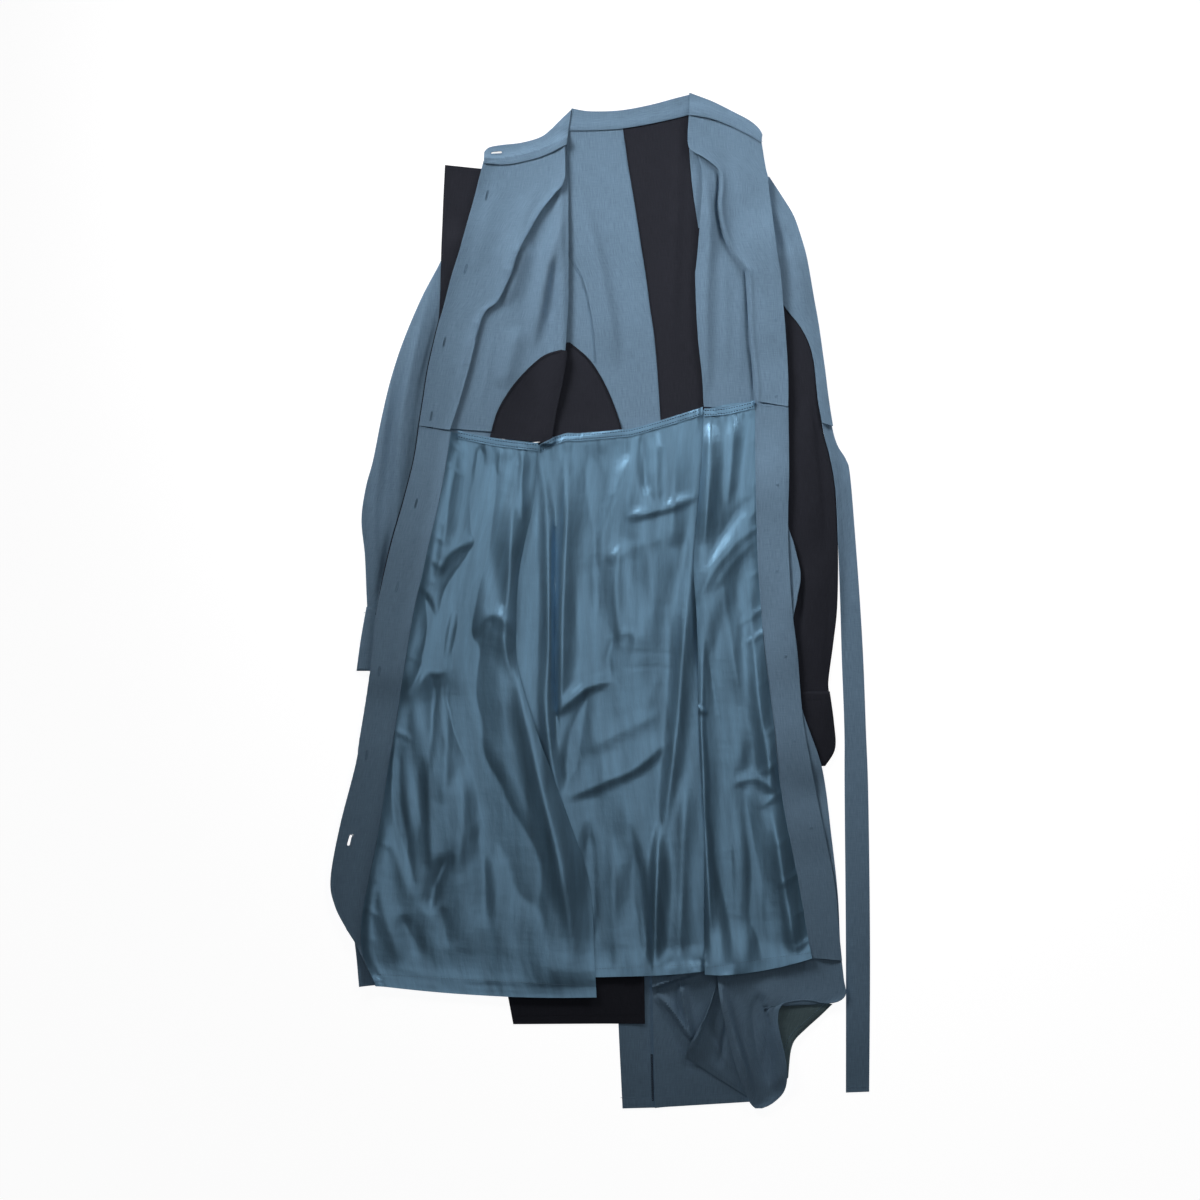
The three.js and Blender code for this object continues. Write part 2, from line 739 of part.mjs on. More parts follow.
function addButtons() {
  BUTTONS.forEach(({ x, y, lift }, k) => {
    const [w, e, s, n] = [x - BUTTON_RADIUS, x + BUTTON_RADIUS, y - BUTTON_RADIUS, y + BUTTON_RADIUS];
    const square = (z) => [
      [new THREE.Vector3(w, s, z), new THREE.Vector3(e, s, z), new THREE.Vector3(e, n, z)],
      [new THREE.Vector3(w, s, z), new THREE.Vector3(e, n, z), new THREE.Vector3(w, n, z)],
    ];
    const base = lift + Math.max(...square(0).map((face) => highestUnder(...face)));
    const disc = new THREE.CylinderGeometry(BUTTON_RADIUS, BUTTON_RADIUS, BUTTON_THICKNESS, BUTTON_SIDES);
    disc.rotateX(Math.PI / 2).translate(x, y, base + BUTTON_THICKNESS / 2);
    addPiece(`button_${String(k + 1).padStart(2, "0")}`, disc, BUTTON_BLUE);
    for (const face of square(base + BUTTON_THICKNESS)) raisePile(...face);
  });
}

function addOuterFronts() {
  layer([
    {
      name: "left_front",
      left: edge(LEFT_BODICE, "outer", 1),
      right: edge(LEFT_BODICE, "fold"),
      across: 7,
      down: 15,
      finish: CLOTH_BLUE,
      folds: FOLDS.leftFront,
    },
    {
      name: "left_skirt_blue",
      left: edge(LEFT_SHELL, "outer"),
      right: edge(LEFT_SHELL, "colour", -HALF_GAP),
      across: 3,
      down: 12,
      finish: CLOTH_BLUE,
    },
    {
      name: "left_skirt_black",
      left: edge(LEFT_SHELL, "colour", HALF_GAP),
      right: edge(LEFT_SHELL, "inner"),
      across: 4,
      down: 12,
      finish: CLOTH_BLACK,
    },
    {
      name: "right_front",
      left: edge(RIGHT_BODICE, "fold"),
      right: edge(RIGHT_BODICE, "outer", -1),
      across: 5,
      down: 16,
      finish: CLOTH_BLUE,
      folds: FOLDS.rightFront,
    },
    {
      name: "right_skirt",
      left: edge(RIGHT_SHELL, "left"),
      right: edge(RIGHT_SHELL, "right"),
      across: 5,
      down: 32,
      finish: CLOTH_BLUE,
      folds: FOLDS.rightShell,
    },
  ]);
}

function addInnerFronts() {
  const patch = { left: edge(PATCH_FRONT, "left"), right: edge(PATCH_FRONT, "right") };
  layer([{ name: "waist_patch_front", ...patch, across: 4, down: 6, finish: CLOTH_BLACK }]);
  layer([
    {
      name: "left_facing",
      left: edge(LEFT_BODICE, "outer"),
      right: edge(LEFT_BODICE, "facing"),
      across: 4,
      down: 18,
      finish: CLOTH_BLUE,
      folds: FOLDS.leftFacing,
      bow: [-6, 0],
    },
    {
      name: "left_button_stand",
      left: edge(LEFT_SKIRT, "outer"),
      right: edge(LEFT_SKIRT, "seam", -HALF_GAP),
      across: 2,
      down: 24,
      finish: CLOTH_BLUE,
    },
    {
      name: "left_lining",
      left: edge(LEFT_SKIRT, "seam", HALF_GAP),
      right: edge(LEFT_SKIRT, "free"),
      across: 11,
      down: 26,
      finish: CLOTH_SATIN,
      thickness: LINING,
      folds: FOLDS.leftLining,
      bow: [-1, -5],
    },
    {
      name: "right_facing",
      left: edge(RIGHT_BODICE, "facing"),
      right: edge(RIGHT_BODICE, "outer"),
      across: 4,
      down: 20,
      finish: CLOTH_BLUE,
      folds: FOLDS.rightFacing,
      bow: [7, 0],
    },
    {
      name: "right_button_stand",
      left: edge(RIGHT_SKIRT, "seam", HALF_GAP),
      right: edge(RIGHT_SKIRT, "outer"),
      across: 2,
      down: 20,
      finish: CLOTH_BLUE,
    },
    {
      name: "right_lining",
      left: edge(RIGHT_SKIRT, "free"),
      right: edge(RIGHT_SKIRT, "seam", -HALF_GAP),
      across: 7,
      down: 24,
      finish: CLOTH_SATIN,
      thickness: LINING,
      folds: FOLDS.rightLining,
      bow: [4, -6],
    },
  ]);
}

// ---------------------------------------------------------------- neck band and casings

const wasm = await Module();
wasm.setup();

// Cuts the open buttonhole through the left end of the band.
function cutButtonhole(geometry) {
  const solid = (shape) => {
    shape.deleteAttribute("normal");
    shape.deleteAttribute("uv");
    const merged = mergeVertices(shape, MERGE_WITHIN);
    const vertProperties = merged.attributes.position.array;
    return new wasm.Manifold(
      new wasm.Mesh({ numProp: 3, vertProperties, triVerts: new Uint32Array(merged.index.array) }),
    );
  };
  const slot = new THREE.BoxGeometry(COLLAR_SLOT.length, COLLAR_SLOT.width, CUTTER_HEIGHT);
  slot.rotateZ(THREE.MathUtils.degToRad(COLLAR_SLOT.tilt)).translate(COLLAR_SLOT.x, COLLAR_SLOT.y, 0);
  const cut = solid(geometry).subtract(solid(slot)).getMesh();
  return meshData([...cut.vertProperties], [...cut.triVerts]);
}

function addTopLayer() {
  const band = (rows) => ({ left: edge(rows, "seam"), right: edge(rows, "top"), across: 2 });
  const casing = (rows) => {
    const shift = (depth) => new THREE.SplineCurve(rows.map((r) => new THREE.Vector2(r.x, r.y - depth)));
    return { left: shift(CASING_DEPTH), right: shift(0), across: 1, finish: CLOTH_SATIN, thickness: LINING };
  };
  layer([
    { name: "left_neck_band", ...band(COLLAR_LEFT), down: 9, finish: CLOTH_BLUE, cut: cutButtonhole },
    { name: "right_neck_band", ...band(COLLAR_RIGHT), down: 7, finish: CLOTH_BLUE },
    { name: "left_waist_casing", ...casing(LEFT_WAIST), down: 8 },
    { name: "back_waist_casing", ...casing(BACK_WAIST), down: 12 },
    { name: "right_waist_casing", ...casing(RIGHT_WAIST), down: 5 },
  ]);
}

addSleeves();
addBottomLayer();
addLowerLayers();
addButtons();
addOuterFronts();
addInnerFronts();
addTopLayer();

export default dress;
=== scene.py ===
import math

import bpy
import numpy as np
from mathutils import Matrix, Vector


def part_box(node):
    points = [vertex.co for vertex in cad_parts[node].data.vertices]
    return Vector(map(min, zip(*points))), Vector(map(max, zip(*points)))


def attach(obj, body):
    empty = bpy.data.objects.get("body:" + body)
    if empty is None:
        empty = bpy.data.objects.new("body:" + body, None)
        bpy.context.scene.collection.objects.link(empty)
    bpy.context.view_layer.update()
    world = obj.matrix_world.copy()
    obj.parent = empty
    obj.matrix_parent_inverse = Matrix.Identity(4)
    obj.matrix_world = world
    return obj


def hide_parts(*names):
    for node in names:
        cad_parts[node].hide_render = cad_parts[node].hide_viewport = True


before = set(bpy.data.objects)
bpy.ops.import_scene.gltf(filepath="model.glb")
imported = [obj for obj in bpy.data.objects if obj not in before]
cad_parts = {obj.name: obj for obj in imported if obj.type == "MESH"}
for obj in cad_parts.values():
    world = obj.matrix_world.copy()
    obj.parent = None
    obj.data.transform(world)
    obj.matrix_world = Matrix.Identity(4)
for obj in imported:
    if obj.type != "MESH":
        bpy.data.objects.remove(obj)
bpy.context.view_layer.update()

# Shirt dress, laid open on a flat surface with the inside of its fronts and back facing up.
#
# Tables are in millimetres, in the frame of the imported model: +Z up from the surface, +Y towards the collar.
# Every cloth piece is a surface over a grid between two edges. The pieces are laid on one another in the
# order of the operators, and each rests a seam gap above the highest cloth under it.

bl_info = {
    "name": "Laid-open shirt dress",
    "version": (1, 0, 0),
    "blender": (4, 5, 0),
    "location": "View3D > Sidebar > Dress",
    "description": "Shirt dress in blue and black cloth, laid open with its satin lining up",
    "category": "Object",
}

MM = 0.001
FOOT = 1.55  # foot width of a fold over the half width in its table
CURL_WIDTH = 16.0  # mm of cloth that a curled edge takes
HEM_RISE = 0.45  # mm that a turned hem stands above the single cloth
FADE = 3.2  # a fold fades over its length divided by this, at both ends
CREST = 0.015  # rounding of a fold's crest
CREST_HEIGHT = 1.3  # makes up for the height that the rounding takes
FLOOR_HALF = 8000.0
FLOOR_DROP = 0.4  # mm that the floor lies under the cloth
LENS = 85.0
SENSOR = 36.0
VIEW_WIDTH = 1.44  # metres of the floor across the picture
LOOKS = {
    "cloth_blue": "blue weave",
    "cloth_black": "black weave",
    "lining_satin": "blue satin",
    "button_resin": "clouded resin",
}
GATHERED_SATIN = "gathered satin"
TURNED_WEAVE = "turned weave"


# ---------------------------------------------------------------- sizes and colours


class DressSizes(bpy.types.PropertyGroup):
    """Thicknesses and pitches, in metres"""

    shell: bpy.props.FloatProperty(
        name="Outer cloth", description="Thickness of the blue and black cloth", default=0.0011, unit="LENGTH"
    )
    lining: bpy.props.FloatProperty(
        name="Lining", description="Thickness of the satin lining", default=0.0007, unit="LENGTH"
    )
    gap: bpy.props.FloatProperty(
        name="Layer gap", description="Air between two layers of cloth", default=0.0003, unit="LENGTH"
    )
    grid: bpy.props.FloatProperty(
        name="Grid", description="Spacing of the points on a cloth piece", default=0.0038, unit="LENGTH"
    )
    stitch: bpy.props.FloatProperty(
        name="Stitch", description="Pitch of the sewing", default=0.0032, unit="LENGTH"
    )


class DressColours(bpy.types.PropertyGroup):
    """Colours of the cloths, as linear values"""

    blue: bpy.props.FloatVectorProperty(
        name="Blue cloth", description="Slate-blue outer cloth", subtype="COLOR",
        default=(0.162, 0.260, 0.372),
    )
    black: bpy.props.FloatVectorProperty(
        name="Black cloth", description="Black outer cloth", subtype="COLOR", default=(0.022, 0.024, 0.034)
    )
    satin: bpy.props.FloatVectorProperty(
        name="Satin", description="Lining of the skirt", subtype="COLOR", default=(0.168, 0.318, 0.470)
    )
    turned: bpy.props.FloatVectorProperty(
        name="Turned cloth", description="Other face of the blue cloth", subtype="COLOR",
        default=(0.114, 0.172, 0.192),
    )
    button: bpy.props.FloatVectorProperty(
        name="Button", description="Resin of the buttons", subtype="COLOR", default=(0.030, 0.052, 0.075)
    )
    floor: bpy.props.FloatVectorProperty(
        name="Floor", description="Plain pale surface", subtype="COLOR", default=(0.22, 0.22, 0.23)
    )


# ---------------------------------------------------------------- outlines

# Left front above the waist, from the collar down: opening edge, loose edge of the facing, fold to the back.
LEFT_OPENING = (
    (-139.5, 526), (-146, 500), (-151, 480), (-157, 458), (-168, 418), (-177, 389),
    (-185, 358), (-189, 343), (-194, 326), (-205, 278), (-211, 240), (-216, 208),
)
LEFT_FACING_EDGE = (
    (-42, 550), (-42, 503), (-54, 485), (-72, 462), (-96, 418), (-106, 389),
    (-121, 358), (-136, 345), (-144, 326), (-156, 278), (-168, 236), (-179, 203),
)
LEFT_FOLD = (
    (-39, 550), (-38, 503), (-38, 482), (-38, 460), (-38, 420), (-38, 390),
    (-38, 358), (-39, 343), (-40, 324), (-44, 276), (-53, 232), (-61, 196),
)

# Right front above the waist, with the same three edges.
RIGHT_FOLD = (
    (111, 575), (112, 550), (116, 536), (120, 522), (122, 512), (122, 502), (122, 488), (121, 470),
    (119, 443), (117, 419), (115, 399), (114, 384), (117, 318), (122, 270), (124, 231),
)
RIGHT_FACING_EDGE = (
    (107, 589), (105, 560), (107, 540), (122, 530), (136, 520), (143, 511), (144, 494), (142, 471),
    (147, 443), (158, 419), (172, 399), (177, 386), (180, 318), (185, 270), (187, 238),
)
RIGHT_OPENING = (
    (192.5, 555), (195, 539), (197, 526), (199, 515), (201, 507), (202, 498), (203, 486), (205, 470),
    (208, 443), (211, 419), (214, 399), (216, 386), (222, 318), (225, 268), (225, 231),
)
RIGHT_SHOULDER = (
    ((107, 541), (109, 512), (112, 485), (118, 446)),
    ((132, 541), (131, 512), (129, 485), (127, 446)),
)

# Back above the waist: its sides and the seams between its panels.
BACK_SIDE = (
    (-56, 560), (-92, 520), (-108, 470), (-112, 418), (-113, 385), (-114, 348), (-114, 310),
    (-114, 262), (-114, 186),
)
BACK_PRINCESS = (
    (-36, 568), (-38, 520), (-38, 470), (-35, 418), (-20, 385), (-11, 348), (-6, 312), (-3, 266),
    (2, 197),
)
BACK_INSET = (
    (27, 569), (34, 520), (42, 472), (50, 420), (55, 388), (60, 350), (65, 316), (69, 272), (73, 209),
)
BACK_HIDDEN = (
    (114, 588), (116, 524), (117, 474), (118, 422), (119, 390), (120, 356), (121, 322), (122, 282),
    (124, 224),
)
BACK_RIGHT = (
    (120, 588), (134, 528), (146, 478), (156, 426), (160, 394), (163, 360), (165, 328), (166, 290),
    (168, 236),
)

# Left front below the waist: opening edge, seam of stand and lining, free side of the lining.
LEFT_STAND_EDGE = (
    (-216, 207.5), (-222, 168), (-234, 120), (-248, 71), (-259, 26), (-268, -18), (-275, -84), (-288, -165),
    (-293, -198), (-312, -272), (-323, -334), (-318, -366), (-304, -394), (-291, -414), (-281, -432),
)
LEFT_STAND_SEAM = (
    (-178, 201), (-184, 160), (-193, 113), (-203, 71), (-213, 26), (-223, -18), (-234, -84), (-247, -165),
    (-253, -198), (-264, -272), (-276, -332), (-282, -362), (-286, -390), (-284, -424), (-268, -462),
)
LEFT_LINING_EDGE = (
    (-75, 188), (-77, 146), (-82, 106), (-92, 62), (-99, 20), (-101, -30), (-98, -84), (-73, -165),
    (-60, -200), (-35, -270), (-16, -325), (-9, -372), (-7, -412), (-6, -440), (-4, -476),
)

# Right front below the waist.
RIGHT_LINING_EDGE = (
    (124, 226), (122, 167), (117, 104), (112, 44), (115, -10), (117, -66),
    (118, -144), (121, -200), (125, -275), (125, -340), (125, -395), (125, -447),
)
RIGHT_STAND_SEAM = (
    (186, 236), (186, 167), (187, 104), (189, 44), (193, -14), (197, -66),
    (207, -144), (213, -206), (225, -275), (238, -340), (247, -392), (254, -429),
)
RIGHT_STAND_EDGE = (
    (225, 230.5), (226, 167), (225, 104), (226, 50), (230, -12), (236, -66),
    (243, -144), (254, -206), (268, -275), (281, -338), (286, -392), (290, -432),
)

BACK_LINING = (
    ((-112, 182), (-118, 60), (-122, -120), (-96, -300), (-60, -452)),
    ((150, 236), (150, 80), (152, -110), (156, -290), (160, -440)),
)
BACK_SKIRT_BLACK = (
    ((-112, 184), (-150, 60), (-172, -60), (-168, -200), (-158, -352), (-120, -440), (-104, -509)),
    ((53, 206), (53, 60), (53, -60), (53, -200), (53, -352), (53, -440), (54, -508)),
)
BACK_SKIRT_BLUE = (
    ((53.3, 202), (53.3, 80), (54, -100), (57, -200), (60, -320), (62, -440), (63, -508), (65.5, -609)),
    ((170, 232), (200, 80), (218, -100), (222, -220), (220, -340), (210, -450), (196, -520), (180, -602)),
)
VENT_FACING = (((20, -440), (22, -506), (27, -610)), ((62.4, -440), (63.4, -506), (65.9, -609)))

# Outer cloth of the left front skirt: opening side, seam between its colours, inner side.
LEFT_SHELL = ((-213, 204), (-240, 80), (-266, -70), (-286, -190), (-314, -325), (-296, -400), (-289, -464))
LEFT_SHELL_COLOUR = (
    (-160, 196), (-176, 74), (-194, -76), (-206, -194), (-214, -328), (-218, -402), (-224, -458),
)
LEFT_SHELL_INNER = ((-84, 186), (-96, 60), (-108, -84), (-84, -194), (-30, -320), (-24, -404), (-40, -452))

# Outer cloth of the right front skirt, from its ridge over the back to its stand and round the hem.
RIGHT_SHELL = (
    (
        (128, 222), (124, 100), (123, 60), (122.5, 30), (122, 0), (122, -40), (124, -120), (127, -200),
        (130, -280), (134, -352), (138, -410),
        (140, -448), (142, -468), (145, -485), (148, -499), (151, -512), (155, -527), (159, -543),
        (163, -558),
        (168, -574), (174, -590), (180, -603), (186, -609),
    ),
    (
        (222, 228), (222, 110), (233, 64), (240, 30), (236, 2), (230, -40), (239, -120), (266, -202),
        (277, -280), (285, -352), (288, -412),
        (292, -452), (294, -474), (277, -483), (244, -479), (219, -484), (213, -500), (216, -522),
        (221, -545),
        (224, -570), (220, -590), (206, -604), (194, -609),
    ),
)
RIGHT_HEM_CURL = (
    ((200, -474), (204, -494), (208, -514), (214, -532), (219, -545), (222, -558), (223, -574)),
    ((279, -484.5), (263, -499), (246, -514), (233, -527), (228, -540), (226, -555), (224.6, -572)),
)
RIGHT_HEM_TURN = (
    ((139, -458), (128, -490), (116, -513), (106, -533), (101, -547)),
    ((160, -466), (168, -503), (176, -540), (182, -573), (187, -602)),
)

# Flattened sleeves and cuffs: their two long edges.
LEFT_SLEEVE = (
    (
        (-180, 430), (-193, 402), (-214, 362), (-236, 310), (-251, 264), (-262, 218),
        (-272, 168), (-281, 134), (-286, 96), (-282, 54), (-280, 8), (-279, -10),
    ),
    (
        (-117, 430), (-117, 402), (-118, 362), (-118, 310), (-119, 264), (-121, 218),
        (-126, 168), (-132, 134), (-140, 96), (-152, 54), (-166, 8), (-178, -10),
    ),
)
LEFT_CUFF = (((-280, -8), (-287, -48), (-292, -85)), ((-179, -8), (-184, -48), (-190, -85)))
RIGHT_SLEEVE = (
    (
        (186, 412), (196, 354), (203.5, 304), (208.3, 262), (211.3, 232), (214, 203), (216, 170),
        (217, 130), (222, 60), (227, -7), (226, -50), (226, -96), (228, -112),
    ),
    (
        (236, 412), (247, 354), (255, 304), (260.9, 262), (264.4, 232), (267.4, 203), (275.9, 170),
        (282.4, 130), (285.4, 60), (284.5, -7), (280, -50), (274, -96), (275, -112),
    ),
)
RIGHT_CUFF = (
    ((227.5, -109.5), (232, -146), (236, -178), (240, -199)),
    ((275.5, -109.5), (280.5, -146), (282, -178), (270, -199)),
)
RIGHT_SLEEVE_TOP = (
    (
        (199, 508), (198, 484), (200, 462), (202, 440), (204, 410), (212, 372),
        (222, 350), (238, 330), (250, 308), (256, 285), (258.5, 262), (261, 238), (265.5, 212),
    ),
    (
        (203, 508), (220, 482), (232, 462), (240, 440), (248, 410), (256, 364),
        (260.5, 340), (264, 318), (267, 296), (270, 274), (272.5, 252), (275.5, 230), (279, 208),
    ),
)

# Black cloth behind the left front. Below its wide part a narrow strip of it runs under the edge of the button
# stand and draws the dark line there. The strip stands for the black cloth and also for painted shade in the
# gap between stand and sleeve.
LEFT_SHOULDER = (
    (
        (-186, 522), (-188.5, 470), (-190.5, 406), (-192.5, 345), (-198, 318), (-207, 278), (-213, 240),
        (-218, 208), (-224, 168), (-236, 120), (-250, 71), (-260.8, 26), (-269, -18),
    ),
    (
        (-128, 516), (-140, 466), (-152, 404), (-160, 345), (-176, 318), (-189, 278), (-196, 240),
        (-200, 208), (-206, 168), (-218, 120), (-232, 71), (-243, 26), (-252, -18),
    ),
)

# Neck band: its seam and its free top edge.
BAND_LEFT = (
    ((-139, 523), (-130, 522), (-108, 522), (-80, 528), (-60, 535), (-48, 541), (-40, 545)),
    ((-139, 537), (-133, 543), (-118, 546), (-93, 549), (-68, 557), (-49, 574), (-34, 588.5)),
)
BAND_BACK = (
    ((-46, 563), (-12, 563), (24, 565), (60, 571), (88, 577), (112, 583)),
    ((-34, 590), (-12, 586.5), (24, 587.5), (60, 594), (90, 602), (108, 606.5)),
)
BAND_RIGHT = (
    ((107, 580), (133, 576), (157, 567), (177, 557), (187, 551), (193.5, 547)),
    ((107, 608.5), (133, 599), (157, 587), (179, 575), (190, 565), (194, 556)),
)

# Waist edges of the linings.
WAIST_LEFT = ((-170, 202.5), (-122, 193), (-74, 187.5))
WAIST_BACK = ((-72, 186), (-44, 199), (-24, 200), (24, 204), (48, 208), (123, 231))
WAIST_RIGHT = ((124.5, 229), (150, 231), (185, 239))
WAISTS = (("left", WAIST_LEFT), ("back", WAIST_BACK), ("right", WAIST_RIGHT))
CASING_DEPTH = 9.5
CASING_ROWS = (2.4, 7.2)

# Where the linings pucker: shares of the length of the waist line and of the seam with the stand.
WAIST_PUCKERS = {
    "left": (0.08, 0.16, 0.29, 0.37, 0.50, 0.58, 0.66, 0.79, 0.88, 0.95),
    "back": (0.13, 0.20, 0.26, 0.36, 0.44, 0.50, 0.59, 0.64, 0.71, 0.79, 0.84, 0.92, 0.97),
    "right": (0.10, 0.27, 0.45, 0.58, 0.74, 0.90),
}
SEAM_PUCKERS = {
    "left": (0.03, 0.07, 0.13, 0.17, 0.20, 0.24, 0.28, 0.36, 0.41, 0.49, 0.58, 0.66, 0.71, 0.80, 0.88),
    "right": (0.06, 0.13, 0.18, 0.21, 0.25, 0.29, 0.36, 0.41, 0.49, 0.56, 0.62, 0.67, 0.74, 0.80, 0.87, 0.94),
}

EDGE_PUCKERS = (0.12, 0.17, 0.24, 0.29, 0.37, 0.44, 0.49, 0.57, 0.63, 0.72, 0.81, 0.90)

# Buttonholes of the left front: centre, length, width and heading. The last one gapes.
BUTTONHOLES = (
    (-135.5, 484.8, 11, 0.9, 76),
    (-160.8, 396, 11, 0.9, 74),
    (-186, 308.4, 11, 0.9, 76),
    (-201.6, 219.6, 11, 0.9, 80),
    (-219.6, 115.2, 11, 0.9, 77),
    (-242.4, 15.6, 11, 0.9, 76),
    (-264, -85.2, 11, 0.9, 82),
    (-279.6, -186, 11, 0.9, 81),
    (-300, -288, 14, 3.4, 74),
)
FACING_HOLES = 4  # the first ones are in the facing, and the last of these reaches the stand too
GAPING_HOLE = (-300, -288, 15, 6, 74)  # in the outer cloth, under the last one
COLLAR_HOLE = (-124, 536.5, 13, 2.4, 6)

PATCH_BACK = (
    ((-40, 309), (-50, 285), (-56, 260), (-62, 230), (-66, 196)),
    ((-36, 309), (-12, 288), (6, 259), (19, 228), (28, 199)),
)
PATCH_FRONT = (
    ((-46, 299), (-70, 291), (-100, 262), (-122, 228), (-132, 194)),
    ((-39.5, 298), (-41.5, 280), (-46.5, 252), (-52.5, 224), (-58.5, 188)),
)
BELT = (
    (
        (260.5, 262), (264, 232), (267, 203), (275.5, 170), (282, 130), (285.2, 60),
        (287.8, -7), (290, -70), (293, -154), (293.5, -240), (295, -420), (295, -591),
    ),
    (
        (270.5, 264), (274, 230), (283, 190), (295, 169), (300, 150), (306, 79),
        (312, -4), (316, -74), (319, -154), (322, -240), (324, -420), (323, -590),
    ),
)
BUTTONS = (
    (184, 551), (188, 506), (199, 420), (210, 335), (211, 244),
    (212, 138), (212, 35), (222, -67), (233, -168), (253, -272),
)
BUTTON_PROFILE = (
    (0, 0.2), (4.6, 0.0), (5.5, 0.35), (5.75, 1.2), (5.4, 2.2), (4.7, 2.4), (4.0, 1.75), (0, 1.6),
)
BUTTON_STEPS = 28
POLE_MERGE = 0.00002  # metres within which the points at a button's poles become one

# ---------------------------------------------------------------- folds

